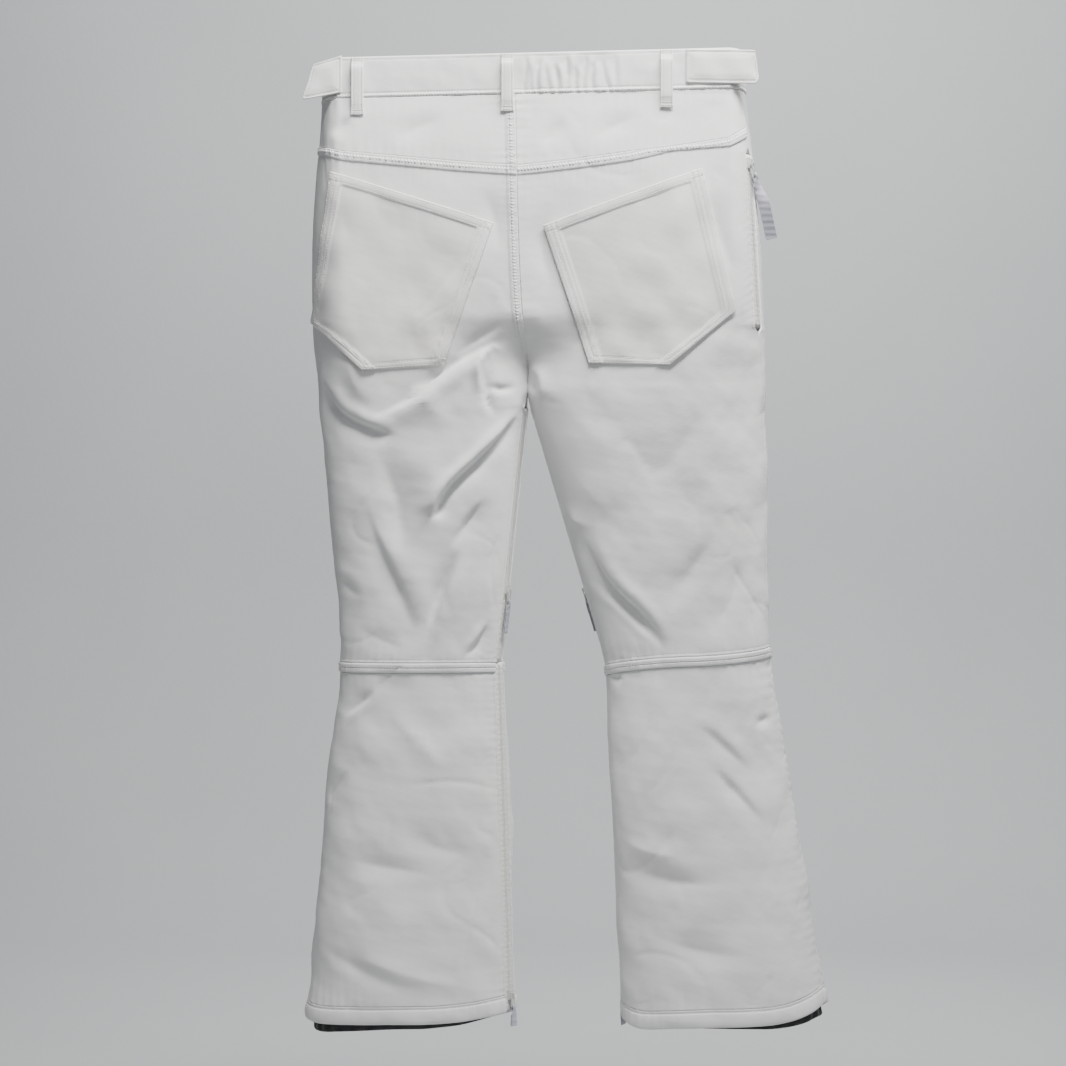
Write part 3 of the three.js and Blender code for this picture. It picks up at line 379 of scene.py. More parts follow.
BACK_FOLDS = [
    # Under the left seat, from the crotch seam to the side.
    fold(-5.5, 13, (-20, -318), (-62, -331), (-104, -359), (-144, -389), (-190, -410), lip=0.5),
    fold(-2.0, 7, (-30, -300), (-64, -322), (-90, -340), lip=0.3),
    fold(-4.6, 11, (-238, -362), (-220, -398), (-190, -417), (-150, -430), lip=0.6, ends=(0.3, 0.3)),
    fold(2.5, 17, (-208, -330), (-196, -372), (-180, -398)),
    fold(2.5, 20, (-150, -350), (-120, -392), (-80, -420)),
    fold(-4.5, 24, (-176, -436), (-152, -498), (-143, -570)),
    fold(2.5, 22, (-120, -430), (-112, -500), (-118, -560)),
    # The drape from the crotch down the inner thigh.
    fold(
        -6.0, 8, (-14, -400), (-34, -428), (-62, -457), (-92, -486), (-112, -521),
        lip=-0.9, ends=(0.25, 0.1),
    ),
    fold(-3.0, 11, (-50, -495), (-72, -522), (-92, -556), lip=-0.4),
    # Folds that meet above the left knee.
    fold(-3.4, 14, (-190, -500), (-172, -552), (-146, -606), (-122, -668), lip=0.4),
    fold(-4.6, 12, (-80, -545), (-104, -606), (-126, -668), lip=0.5),
    fold(2.6, 12, (-132, -560), (-122, -610), (-121, -650)),
    fold(-3.0, 7, (-46, -634), (-60, -658), (-76, -677), lip=-0.5),
    fold(-1.8, 9, (-222, -583), (-207, -597), (-190, -609)),
    fold(-1.6, 12, (-200, -640), (-170, -655), (-140, -668)),
    # Gathers round the crotch.
    fold(3.6, 6, (-58, -392), (-61, -350), (-47, -328), (-31, -337)),
    fold(-3.0, 5.5, (-52, -348), (-50, -388), (-38, -407)),
    fold(-2.6, 5, (-54, -371), (-34, -375), (-16, -371)),
    fold(2.4, 6, (-12, -346), (9, -358), (10, -387), (0, -393)),
    fold(-2.4, 5, (-8, -358), (0, -372), (1, -384)),
    # Right thigh.
    fold(-4.4, 11, (50, -535), (84, -592), (128, -636), (154, -677), lip=0.5),
    fold(-2.6, 7, (64, -585), (107, -624), (146, -662), lip=-0.4),
    fold(-3.0, 14, (204, -536), (170, -588), (152, -630)),
    fold(-2.2, 18, (120, -428), (144, -466), (194, -386)),
    fold(2.6, 10, (30, -500), (44, -520), (66, -530)),
    fold(1.8, 22, (20, -430), (52, -478), (90, -520)),
    fold(-1.6, 12, (232, -560), (222, -610), (196, -650)),
    # Left lower leg.
    fold(-2.4, 8, (-176, -709), (-194, -726), (-213, -742), lip=0.4),
    fold(2.0, 12, (-162, -738), (-128, -768), (-96, -805)),
    fold(-2.0, 9, (-206, -800), (-222, -820), (-236, -842)),
    fold(-2.4, 15, (-214, -900), (-170, -907), (-102, -919)),
    fold(-1.8, 10, (-246, -996), (-190, -1022), (-124, -1050)),
    fold(1.6, 12, (-216, -1000), (-130, -1030), (-50, -1045)),
    fold(-1.5, 16, (-150, -840), (-120, -880), (-60, -900)),
    # Right lower leg.
    fold(-2.2, 5, (80, -693), (90, -698), (102, -701)),
    fold(-1.6, 9, (176, -742), (212, -772), (246, -806), lip=0.4),
    fold(-1.6, 9, (190, -788), (226, -824), (262, -866), lip=0.4),
    fold(-2.6, 13, (92, -906), (150, -922), (212, -930)),
    fold(1.6, 10, (96, -876), (130, -892), (170, -896)),
    fold(-2.0, 6, (246, -751), (258, -746), (270, -742)),
    fold(-1.5, 14, (120, -980), (180, -1000), (260, -1010)),
    # Yokes and seat.
    fold(-2.0, 8, (-224, -96), (-214, -84), (-203, -72)),
    fold(-1.8, 13, (-158, -103), (-128, -84), (-96, -72)),
    fold(-1.4, 11, (4, -104), (20, -94), (36, -72)),
    fold(-1.6, 13, (60, -100), (84, -86), (120, -70)),
    fold(-2.0, 13, (-60, -150), (-45, -180), (-36, -230)),
    fold(-1.8, 13, (18, -160), (10, -210), (24, -280)),
    fold(-1.6, 11, (196, -150), (206, -200), (228, -260)),
]
FRONT_FOLDS = [
    fold(-3.5, 11, (8, -330), (60, -350), (120, -352), lip=0.5),
    fold(-3.5, 11, (4, -345), (50, -385), (86, -430), lip=-0.5),
    fold(-3.5, 11, (-14, -330), (-66, -348), (-128, -350), lip=-0.5),
    fold(-3.5, 11, (-14, -348), (-60, -390), (-96, -436), lip=0.5),
    fold(-3.5, 14, (-200, -520), (-160, -590), (-118, -640), lip=0.4),
    fold(-3.0, 12, (-52, -560), (-80, -620), (-120, -668)),
    fold(-3.5, 14, (210, -520), (190, -590), (160, -650), lip=-0.4),
    fold(-3.0, 12, (70, -560), (100, -610), (150, -664)),
    fold(-2.4, 12, (-200, -740), (-150, -770), (-90, -780)),
    fold(-2.4, 12, (110, -750), (160, -780), (230, -790)),
    fold(-2.4, 14, (-220, -880), (-150, -900), (-70, -890)),
    fold(-2.4, 14, (120, -880), (190, -905), (260, -890)),
    fold(-2.0, 16, (-150, -90), (-120, -170), (-100, -240)),
    fold(-2.0, 16, (150, -90), (120, -170), (104, -240)),
]


def crease(x, z, line, depth, width, lip, ends):
    """How far a fold lifts the cloth at each x and z."""
    value = np.zeros_like(x)
    reach = 4 * width
    low, high = line.min(0) - reach, line.max(0) + reach
    inside = (x > low[0]) & (x < high[0]) & (z > low[1]) & (z < high[1])
    if not inside.any():
        return value
    px, pz = x[inside], z[inside]
    best = np.full(px.shape, 1e9)
    run = np.zeros_like(px)
    sign = np.ones_like(px)
    total = 0.0
    for (ax, az), (bx, bz) in zip(line[:-1], line[1:]):
        dx, dz = bx - ax, bz - az
        length = math.hypot(dx, dz)
        u = clamp01(((px - ax) * dx + (pz - az) * dz) / length**2)
        qx, qz = px - (ax + u * dx), pz - (az + u * dz)
        distance = np.hypot(qx, qz)
        near = distance < best
        best = np.where(near, distance, best)
        run = np.where(near, total + u * length, run)
        sign = np.where(near, np.sign(dx * qz - dz * qx), sign)
        total += length
    fade = smoothstep(run / (ends[0] * total)) * smoothstep((total - run) / (ends[1] * total))
    q = best / width
    if lip:
        signed = q * sign * np.sign(lip)
        steep = max(0.3, 3.4 / width)
        value_in = depth * np.where(signed < 0, np.exp(-(q**1.2)), np.exp(-((q / steep) ** 2)))
        value_in = value_in + 0.7 * abs(lip * depth) * np.exp(-(((signed - 1.0) / 0.75) ** 2))
    else:
        value_in = depth * (0.5 * np.exp(-q * q) + 0.5 * np.exp(-1.9 * q))
    value[inside] = value_in * fade
    return value


def wave_field(seed, shortest, longest, count=26):
    """A smooth irregular function of a point: many level waves with lengths between the two given."""
    rng = np.random.default_rng(seed)
    direction = unit(rng.normal(size=(count, 3)))
    lengths = np.exp(rng.uniform(math.log(shortest), math.log(longest), count))
    waves = direction * (TURN / lengths)[:, None]
    phases = rng.uniform(0, TURN, count)

    def field(points):
        return np.sin(points @ waves.T + phases).sum(-1) / math.sqrt(count / 2)

    return field


def creases_along(contour, strength, narrow):
    """Fine creases along the zero lines of one field, which come and go with another."""

    def field(points):
        return -np.exp(-np.abs(contour(points)) / narrow) * smoothstep(strength(points) - 0.1)

    return field


SLOW = wave_field(3, 90, 240)
MIDDLE = wave_field(7, 34, 80)
SMALL = wave_field(11, 12, 30)
LONG_CREASES = creases_along(wave_field(17, 130, 300), wave_field(19, 90, 200), 0.10)
SHORT_CREASES = creases_along(wave_field(23, 60, 130), wave_field(29, 50, 120), 0.16)

FOLD_STRENGTH = 1.7
# The cloth lies flat here, at the top of the right inner thigh, where the other leg's ribbon swings past.
CALM_PLACE, CALM_REACH = (14, -468), 56


def relief(points, normals):
    """How far the cloth stands out from the plain surface: its folds and its unevenness."""
    x, z = points[..., 0], points[..., 2]
    back = smoothstep(-normals[..., 1] * 1.5)
    front = smoothstep(normals[..., 1] * 1.5)
    value = np.zeros_like(x)
    for folds, facing in ((BACK_FOLDS, back), (FRONT_FOLDS, front)):
        for each in folds:
            value += FOLD_STRENGTH * crease(x, z, **each) * facing
    # The seat is stretched and smoother than the legs.
    calm = 1 - 0.55 * smoothstep((z + 330) / 80)
    value += (0.9 * SLOW(points) + 0.45 * MIDDLE(points) + 0.12 * SMALL(points)) * calm
    value += (1.1 * LONG_CREASES(points) + 0.7 * SHORT_CREASES(points)) * (0.4 + 0.6 * calm)
    value *= 1 - np.exp(-((x - CALM_PLACE[0]) ** 2 + (z - CALM_PLACE[1]) ** 2) / CALM_REACH**2)
    under_the_band = smoothstep((-z - WAISTBAND_HEIGHT) / 26)
    return value * under_the_band


def zip_nearness(half, face, points):
    """1 beside a zip, falling to 0 some way off, so that cloth lies flat where a slider runs."""
    near = np.zeros(points.shape[:-1])
    lines = [(half.vent_line, 16), (half.shin_line, 16), (half.pocket_line, 22)]
    if face == FRONT:
        lines.append((FLY, 18))
    for line, reach in lines:
        z = points[..., 2]
        offset = np.linalg.norm(points[..., :2] - line.point(z), axis=-1)
        past = np.maximum(np.maximum(z - line.top_z, line.bottom_z - z), 0)
        near = np.maximum(near, 1 - smoothstep((np.hypot(offset, past) - SLOT_HALF) / reach))
    return near


def edge_spaced(length, step=STEP):
    """Places from 0 to 1 along a length, closer together near both ends."""
    close = [0, 0.35, 0.8, 1.4, 2.2, 3.0, 3.9, 4.8, 5.8, 6.8, 7.8, 8.8, 9.8, 10.6, 11.6, 13.2]
    close = [c for c in close if c < length * 0.4]
    rest = length - 2 * close[-1]
    count = max(1, round(rest / step))
    middle = [close[-1] + rest * k / count for k in range(1, count)]
    places = close + middle + [length - c for c in reversed(close)]
    return np.array(places) / length


def round_edge(distance, radius):
    """How far a turned edge rolls in, at a distance from it."""
    d = np.clip(distance, 0, radius)
    return radius - np.sqrt(np.maximum(radius**2 - (radius - d) ** 2, 0))


def groove(distance, at, depth=0.4, width=0.8):
    return -depth * np.exp(-(((distance - at) / width) ** 2))


def raised_band(distance, width, height):
    return height * (1 - smoothstep((distance - width + 0.8) / 1.6))


def pucker(distance, run, seed, amount=0.45, reach=10, pitch=9.0):
    """Small ripples across a seam, where its stitching draws the cloth in."""
    wobble = 1.4 * np.sin(run / 37.0 + seed) + 0.8 * np.sin(run / 13.7 + 2.1 * seed)
    size = 0.6 + 0.4 * np.sin(run / 53.0 + 1.3 * seed)
    return amount * size * np.sin(TURN * run / pitch + wobble) * np.exp(-distance / reach)


# Mesh making.
def new_object(name, vertices, faces, material, smooth=True):
    mesh = bpy.data.meshes.new(name)
    mesh.from_pydata([tuple(v) for v in np.asarray(vertices) * MM], [], [tuple(f) for f in faces])
    mesh.update()
    if smooth:
        mesh.shade_smooth()
    mesh.materials.append(material)
    obj = bpy.data.objects.new(name, mesh)
    bpy.context.scene.collection.objects.link(obj)
    return obj


def grid_faces(rows, columns, ring, start=0, flip=False):
    i, j = np.meshgrid(np.arange(rows - 1), np.arange(columns if ring else columns - 1), indexing="ij")
    k = (j + 1) % columns
    quads = np.stack([i * columns + j, i * columns + k, (i + 1) * columns + k, (i + 1) * columns + j], -1)
    quads = quads.reshape(-1, 4) + start
    return quads[:, ::-1] if flip else quads


def sheet_mesh(name, outer, inner, material, ring=False):
    """A closed sheet between two grids of points, rows by columns."""
    rows, columns = outer.shape[:2]
    count = rows * columns
    faces = [grid_faces(rows, columns, ring), grid_faces(rows, columns, ring, count, flip=True)]
    spans = columns if ring else columns - 1
    j = np.arange(spans)
    k = (j + 1) % columns
    last = (rows - 1) * columns
    faces.append(np.stack([j, j + count, k + count, k], -1))
    faces.append(np.stack([last + k, last + k + count, last + j + count, last + j], -1))
    if not ring:
        i = np.arange(rows - 1) * columns
        faces.append(np.stack([i + columns, i + columns + count, i + count, i], -1))
        edge = i + columns - 1
        faces.append(np.stack([edge, edge + count, edge + columns + count, edge + columns], -1))
    vertices = np.concatenate([outer.reshape(-1, 3), inner.reshape(-1, 3)])
    faces = np.concatenate(faces)
    a, b, c = (vertices[faces[:, n]] for n in range(3))
    volume = np.einsum("ij,ij->i", a, np.cross(b, c)).sum()
    volume += np.einsum("ij,ij->i", a, np.cross(c, vertices[faces[:, 3]])).sum()
    if volume < 0:
        faces = faces[:, ::-1]
    return new_object(name, vertices, faces, material)


def grid_area(points, ring=False):
    """Area in square metres, and the widest row and longest column in metres."""
    closed = np.concatenate([points, points[:, :1]], 1) if ring else points
    across = np.diff(closed, axis=1)
    down = np.diff(closed, axis=0)
    area = np.linalg.norm(np.cross(across[:-1], down[:, :-1]), axis=-1).sum() * MM * MM
    width = np.linalg.norm(across, axis=-1).sum(1).max() * MM
    length = np.linalg.norm(down, axis=-1).sum(0).max() * MM
    return area, width, length


NARROWEST_CUT = 0.01


def declare_sheet(obj, points, node, body="pants", ring=False):
    """Lets the sheet stand for its node on a body, and works out its cut size without keeping it."""
    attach(obj, body)
    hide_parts(node)
    area, width, length = grid_area(points, ring)
    width, length = max(width, NARROWEST_CUT), max(length, NARROWEST_CUT)


def make_sheet(node, outer, inner, mat, cut, body="pants", ring=False):
    """A node's cloth between two grids. cut is the grid that it was cut to."""
    obj = sheet_mesh(f"{node}_cloth", outer, inner, mat, ring)
    declare_sheet(obj, cut, node, body, ring=ring)
    return obj


def distances(points):
    """Each grid point's distance along its row from both ends, and down its column from both ends."""
    across = np.linalg.norm(np.diff(points, axis=1), axis=-1)
    run = np.concatenate([np.zeros((len(points), 1)), across.cumsum(1)], 1)
    down = np.linalg.norm(np.diff(points, axis=0), axis=-1)
    drop = np.concatenate([np.zeros((1, points.shape[1])), down.cumsum(0)], 0)
    return run, run[:, -1:] - run, drop, drop[-1:] - drop


def line_at(grid, distance, at, axis):
    """The line through a grid where a distance has a value: axis 0 looks down columns, 1 along rows."""
    if axis == 0:
        grid, distance = grid.transpose(1, 0, 2), distance.T
    if distance[0, 0] > distance[0, -1]:
        grid, distance = grid[:, ::-1], distance[:, ::-1]
    return np.array([[np.interp(at, d, g[:, c]) for c in range(3)] for g, d in zip(grid, distance)])


# One stitch, a spindle that swells out of the cloth: shares of its length, width and height.
STITCH = np.array([
    (-0.5, 0, -0.4), (0.5, 0, -0.4),
    (-0.3, -0.5, 0), (-0.3, 0, 1), (-0.3, 0.5, 0),
    (0.3, -0.5, 0), (0.3, 0, 1), (0.3, 0.5, 0),
])
STITCH_FACES = [
    (0, 2, 3), (0, 3, 4), (0, 4, 2),
    (2, 5, 6, 3), (3, 6, 7, 4), (4, 7, 5, 2),
    (1, 6, 5), (1, 7, 6), (1, 5, 7),
]


def resample(line, run, places):
    """A line's values at places along it, where run is the place of each of its own points."""
    return np.stack([np.interp(places, run, column) for column in np.asarray(line).T], -1)


class Stitches:
    """Collects rows of thread stitches and makes them one object."""

    def __init__(self, name, body="pants"):
        self.name, self.body = name, body
        self.vertices, self.faces = [], []

    def row(self, path, normals, pitch=3.2, length=2.6, width=0.75, height=0.42):
        path, normals = np.asarray(path, float), np.asarray(normals, float)
        steps = np.linalg.norm(np.diff(path, axis=0), axis=1)
        run = np.concatenate([[0], steps.cumsum()])
        if run[-1] < pitch:
            return
        count = int(run[-1] // pitch)
        margin = (run[-1] - (count - 1) * pitch) / 2
        places = margin + np.arange(count) * pitch
        centre, normal = resample(path, run, places), resample(normals, run, places)
        ahead, behind = resample(path, run, places + 0.5), resample(path, run, places - 0.5)
        tangent = unit(ahead - behind)
        normal = unit(normal - tangent * np.einsum("ij,ij->i", normal, tangent)[:, None])
        side = np.cross(normal, tangent)
        for c, t, s, n in zip(centre, tangent, side, normal):
            start = len(self.vertices) * len(STITCH)
            lengthwise, sideways, up = STITCH[:, :1] * t, STITCH[:, 1:2] * s, STITCH[:, 2:] * n
            self.vertices.append(c + lengthwise * length + sideways * width + up * height)
            self.faces += [tuple(start + i for i in face) for face in STITCH_FACES]

    def follow(self, outer, normals, distance, at, axis, **sizes):
        """A row along the line of a grid where a distance has a value."""
        self.row(line_at(outer, distance, at, axis), line_at(normals, distance, at, axis), **sizes)

    def ladder(self, path, normals, width, pitch=3.6, height=0.15):
        """The small ridges that two rows of stitching draw up in the cloth between them."""
        self.row(path, normals, pitch, length=pitch * 0.8, width=width, height=height)

    def make(self, material):
        if not self.vertices:
            return None
        obj = new_object(self.name, np.concatenate(self.vertices), self.faces, material)
        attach(obj, self.body)
        return obj


# Materials.
def material(name, color, roughness, metallic=0.0, sheen=0.0):
    mat = bpy.data.materials.new(name)
    mat.use_nodes = True
    shader = mat.node_tree.nodes["Principled BSDF"]
    shader.inputs["Base Color"].default_value = (*color, 1)
    shader.inputs["Roughness"].default_value = roughness
    shader.inputs["Metallic"].default_value = metallic
    if sheen:
        shader.inputs["Sheen Weight"].default_value = sheen
        shader.inputs["Sheen Roughness"].default_value = 0.5
    return mat


def add_node(mat, kind, inputs=None, **settings):
    node = mat.node_tree.nodes.new(kind)
    for key, value in settings.items():
        setattr(node, key, value)
    for key, value in (inputs or {}).items():
        if isinstance(value, bpy.types.NodeSocket):
            mat.node_tree.links.new(value, node.inputs[key])
        else:
            node.inputs[key].default_value = value
    return node


def object_point(mat):
    return add_node(mat, "ShaderNodeTexCoord").outputs["Object"]


def mottled_color(mat, point, base, tint, scale, amount):
    """The base colour with soft patches of a tint."""
    noise = add_node(mat, "ShaderNodeTexNoise", {"Vector": point, "Scale": scale, "Detail": 4.0})
    limits = {"From Min": 0.42, "From Max": 0.75, "To Max": amount}
    ramp = add_node(mat, "ShaderNodeMapRange", {"Value": noise.outputs["Fac"], **limits})
    mix = add_node(mat, "ShaderNodeMix", {"Factor": ramp.outputs["Result"]}, data_type="RGBA")
    mix.inputs[6].default_value = (*base, 1)
    mix.inputs[7].default_value = (*tint, 1)
    return mix.outputs[2]


def weave_height(mat, point, pitch):
    """Height of a fine twill weave with threads a pitch apart, in metres."""
    turned = add_node(mat, "ShaderNodeMapping", {"Vector": point, "Rotation": (0.0, 0.6, 0.4)})
    settings = {"Vector": turned.outputs["Vector"], "Scale": 0.05 / pitch, "Distortion": 0.4}
    first = add_node(mat, "ShaderNodeTexWave", settings, bands_direction="DIAGONAL")
    second = add_node(mat, "ShaderNodeTexWave", settings, bands_direction="Z")
    factors = {0: first.outputs["Fac"], 1: second.outputs["Fac"]}
    return add_node(mat, "ShaderNodeMath", factors, operation="MULTIPLY").outputs["Value"]


def finish_surface(mat, color, height, strength, distance, roughness):
    """Links a colour, a bump height and a varied roughness to the shader."""
    shader = mat.node_tree.nodes["Principled BSDF"]
    links = mat.node_tree.links
    links.new(color, shader.inputs["Base Color"])
    bump = add_node(mat, "ShaderNodeBump", {"Height": height, "Strength": strength, "Distance": distance})
    links.new(bump.outputs["Normal"], shader.inputs["Normal"])
    spread = add_node(mat, "ShaderNodeMapRange", {"Value": height})
    spread.inputs["To Min"].default_value = roughness - 0.06
    spread.inputs["To Max"].default_value = roughness + 0.06
    links.new(spread.outputs["Result"], shader.inputs["Roughness"])


def add_heights(mat, first, second, share):
    scaled = add_node(mat, "ShaderNodeMath", {0: second, 1: share}, operation="MULTIPLY")
    return add_node(mat, "ShaderNodeMath", {0: first, 1: scaled.outputs["Value"]}).outputs["Value"]


def softshell(name, base, tint, amount):
    mat = material(name, base, 0.8, sheen=0.05)
    point = object_point(mat)
    color = mottled_color(mat, point, base, tint, 5.0, amount)
    grain = add_node(mat, "ShaderNodeTexNoise", {"Vector": point, "Scale": 420.0, "Detail": 3.0})
    height = add_heights(mat, weave_height(mat, point, 0.0011), grain.outputs["Fac"], 0.6)
    finish_surface(mat, color, height, 0.1, 0.0004, 0.8)
    return mat


def stretch_cloth(name):
    mat = material(name, (0.012, 0.012, 0.014), 0.75, sheen=0.3)
    point = object_point(mat)
    color = mottled_color(mat, point, (0.012, 0.012, 0.014), (0.028, 0.028, 0.032), 30.0, 0.7)
    finish_surface(mat, color, weave_height(mat, point, 0.0014), 0.4, 0.0008, 0.75)
    return mat


def ribbed_tape(name, base, tint, pitch, roughness):
    mat = material(name, base, roughness)
    point = object_point(mat)
    color = mottled_color(mat, point, base, tint, 60.0, 0.6)
    ribs = add_node(mat, "ShaderNodeTexWave", {"Vector": point, "Scale": 0.05 / pitch}, bands_direction="Z")
    grain = add_node(mat, "ShaderNodeTexNoise", {"Vector": point, "Scale": 900.0, "Detail": 2.0})
    height = add_heights(mat, ribs.outputs["Fac"], grain.outputs["Fac"], 0.5)
    finish_surface(mat, color, height, 0.5, 0.0004, roughness)
    return mat


def moulded(name, base, tint, roughness, metallic=0.0):
    mat = material(name, base, roughness, metallic)
    point = object_point(mat)
    color = mottled_color(mat, point, base, tint, 240.0, 0.7)
    grain = add_node(mat, "ShaderNodeTexNoise", {"Vector": point, "Scale": 1500.0, "Detail": 4.0})
    finish_surface(mat, color, grain.outputs["Fac"], 0.12, 0.0003, roughness)
    return mat


WHITE_SHELL = softshell("white_softshell", (0.80, 0.802, 0.80), (0.775, 0.765, 0.745), 0.4)
CREAM_SHELL = softshell("cream_softshell", (0.80, 0.795, 0.785), (0.775, 0.755, 0.725), 0.6)
BLACK_STRETCH = stretch_cloth("black_stretch")
ELASTIC_RIB = ribbed_tape("black_elastic", (0.016, 0.016, 0.018), (0.03, 0.03, 0.03), 0.0012, 0.7)
RIBBON_CLOTH = ribbed_tape("ribbon_grosgrain", (0.45, 0.45, 0.52), (0.54, 0.54, 0.6), 0.0011, 0.6)
TAPE_CLOTH = ribbed_tape("zip_tape_weave", (0.76, 0.76, 0.74), (0.70, 0.69, 0.66), 0.0009, 0.8)
COIL_NYLON = moulded("zip_coil", (0.78, 0.78, 0.76), (0.70, 0.70, 0.68), 0.4)
ZIP_METAL = moulded("zip_paint", (0.74, 0.74, 0.72), (0.62, 0.62, 0.61), 0.34, 0.35)
SNAP_METAL = moulded("snap_paint", (0.70, 0.70, 0.69), (0.55, 0.55, 0.55), 0.3, 0.6)
THREAD = ribbed_tape("thread", (0.84, 0.84, 0.82), (0.76, 0.75, 0.72), 0.0006, 0.6)


# Panels. An edge is a function that gives its height at each share s of the way across.
def band_bottom(half, face):
    return lambda s: WAIST_TILT * surface(half, face, s, -WAISTBAND_HEIGHT)[0][..., 0] - WAISTBAND_HEIGHT


def yoke_edge(half):
    return lambda s: -lerp(half.yokes[0], half.yokes[1], s**YOKE_CURVE)


def knee_edge(half):
    return lambda s: -lerp(half.knees[0], half.knees[1], s)


def hem_edge(half):
    inner_rise, outer_rise = 0.35, 0.36

    def edge(s):
        sag = half.sag * smoothstep(s / inner_rise) * smoothstep((1 - s) / outer_rise)
        return -lerp(half.hems[0], half.hems[1], s) - sag

    return edge


def lowered(edge, drop):
    return lambda s: edge(s) - drop


def settle(half, face, points, normals):
    """The cloth's lift at each point: its relief, which dies out beside the zips."""
    return relief(points, normals) * (1 - zip_nearness(half, face, points))


def raise_by(points, normals, lift):
    return points + normals * lift[..., None]


def grid_between(half, face, top, bottom, places, rows):
    """The surface's points and normals between two edges, at shares of the way across and down."""
    s, v = np.meshgrid(places, rows)
    return surface(half, face, s, lerp(top(s[0])[None, :], bottom(s[0])[None, :], v))


def panel_grid(half, face, top, bottom):
    halfway = np.array([0.5])
    high = np.mean(top(halfway))
    middle = (high + np.mean(bottom(halfway))) / 2
    probe, _ = surface(half, face, np.linspace(0, 1, 50), middle)
    width = np.linalg.norm(np.diff(probe, axis=0), axis=1).sum()
    tall = abs(middle - high) * 2
    return grid_between(half, face, top, bottom, edge_spaced(width), edge_spaced(tall))


FELL_STITCH = 2
TURNED_STITCH = 3
LADDER_WIDTH = FELL - 6.4
# Where the rows of stitching lie beside an edge, for each kind of seam.
SEAM_ROWS = {"fell": (FELL_STITCH, FELL / 2, FELL - FELL_STITCH), "turned": (TURNED_STITCH,), "plain": ()}
# How much each kind of seam puckers the cloth, how far in and how closely.
SEAM_PUCKERS = {"fell": (0.55, 14, 8.5), "turned": (0.3, 12, 9.0), "plain": (0.35, 16, 11)}
# Heights below and above the whole garment.
BELOW, ABOVE = -2000, 2000
PLAIN = [("plain", BELOW, ABOVE)]
TURNED = [("turned", BELOW, ABOVE)]


def make_panel(half, face, node, top, bottom, seams, thread, ridges, seed):
    """A panel of one half. seams names what each edge is: fell, turned or plain."""
    points, normals = panel_grid(half, face, top, bottom)
    run_in, run_out, drop, rise = distances(points)
    lift = settle(half, face, points, normals)
    edges = {
        "inner": (run_in, drop, 1),
        "outer": (run_out, drop, 1),
        "top": (drop, run_in, 0),
        "bottom": (rise, run_in, 0),
    }
    for i, (side, (distance, run, axis)) in enumerate(edges.items()):
        for kind, low, high in seams.get(side, []):
            weight = smoothstep((points[..., 2] - low) / 6) * smoothstep((high - points[..., 2]) / 6)
            if kind == "fell":
                lift += weight * raised_band(distance, FELL, 1.5)
                lift += weight * (groove(distance, FELL_STITCH) + groove(distance, FELL - FELL_STITCH))
            elif kind == "turned":
                rolled = 0.5 * np.exp(-(((distance - 1.5) / 1.5) ** 2))
                lift += weight * (groove(distance, TURNED_STITCH) + rolled)
            lift += weight * pucker(distance, run, seed + i, *SEAM_PUCKERS[kind])
    nearest = np.minimum.reduce([run_in, run_out, drop, rise])
    outer = raise_by(points, normals, lift - round_edge(nearest, 1.1))
    inner = raise_by(points, normals, lift - CLOTH)
    make_sheet(node, outer, inner, WHITE_SHELL, points)
    for side, (distance, _, axis) in edges.items():
        for kind, low, high in seams.get(side, []):
            for at in SEAM_ROWS[kind]:
                path = line_at(outer, distance, at, axis)
                out = line_at(normals, distance, at, axis)
                kept = (path[:, 2] > low) & (path[:, 2] < high)
                if kept.sum() < 3:
                    continue
                if at == FELL / 2:
                    ridges.ladder(path[kept], out[kept], LADDER_WIDTH)
                else:
                    thread.row(path[kept], out[kept])


def make_panels(half, number):
    gap = EDGE_GAP / 2
    knee_top = lowered(knee_edge(half), -gap)
    thread = Stitches(f"stitching_{half.name}")
    ridges = Stitches(f"seam_ridges_{half.name}")
    fell_here = "fell" if half is LEFT else "plain"
    centre = (fell_here, -RISE + 6, 0)
    zip_side = ("turned", BELOW, -RISE - 12)
    fly_side = ("turned", -RISE + 6, -FLY_BOTTOM - 10)
    pocket_side = ("turned", -POCKET_ZIP_BOTTOM, -POCKET_ZIP_TOP)
    yoke_top, yoke_foot = lowered(band_bottom(half, BACK), gap), lowered(yoke_edge(half), -gap)
    make_panel(
        half, BACK, f"yoke_{half.name}", yoke_top, yoke_foot,
        {"inner": [centre], "bottom": PLAIN, "top": PLAIN}, thread, ridges, 1 + number,
    )
    fell = [("fell", BELOW, ABOVE)]
    make_panel(
        half, BACK, f"back_panel_{half.name}", lowered(yoke_edge(half), gap), knee_top,
        {"inner": [centre, zip_side], "top": fell, "outer": [pocket_side], "bottom": TURNED},
        thread, ridges, 2 + number,
    )
    make_panel(
        half, FRONT, f"front_panel_{half.name}", lowered(band_bottom(half, FRONT), gap), knee_top,
        {"inner": [fly_side, zip_side], "outer": [pocket_side], "bottom": TURNED, "top": PLAIN},
        thread, ridges, 3 + number,
    )
    shin_top, shin_foot = lowered(knee_edge(half), KNEE_BAND_HEIGHT + gap), lowered(hem_edge(half), -gap)
    for face, word in ((BACK, "back"), (FRONT, "front")):
        make_panel(
            half, face, f"shin_{word}_{half.name}", shin_top, shin_foot,
            {"inner": [zip_side], "top": PLAIN, "bottom": PLAIN, "outer": PLAIN},
            thread, ridges, 4 + face + number,
        )
    return thread, ridges


# Rings round a leg. A leg's back or front is about this wide.
LEG_FACE_WIDTH = 240


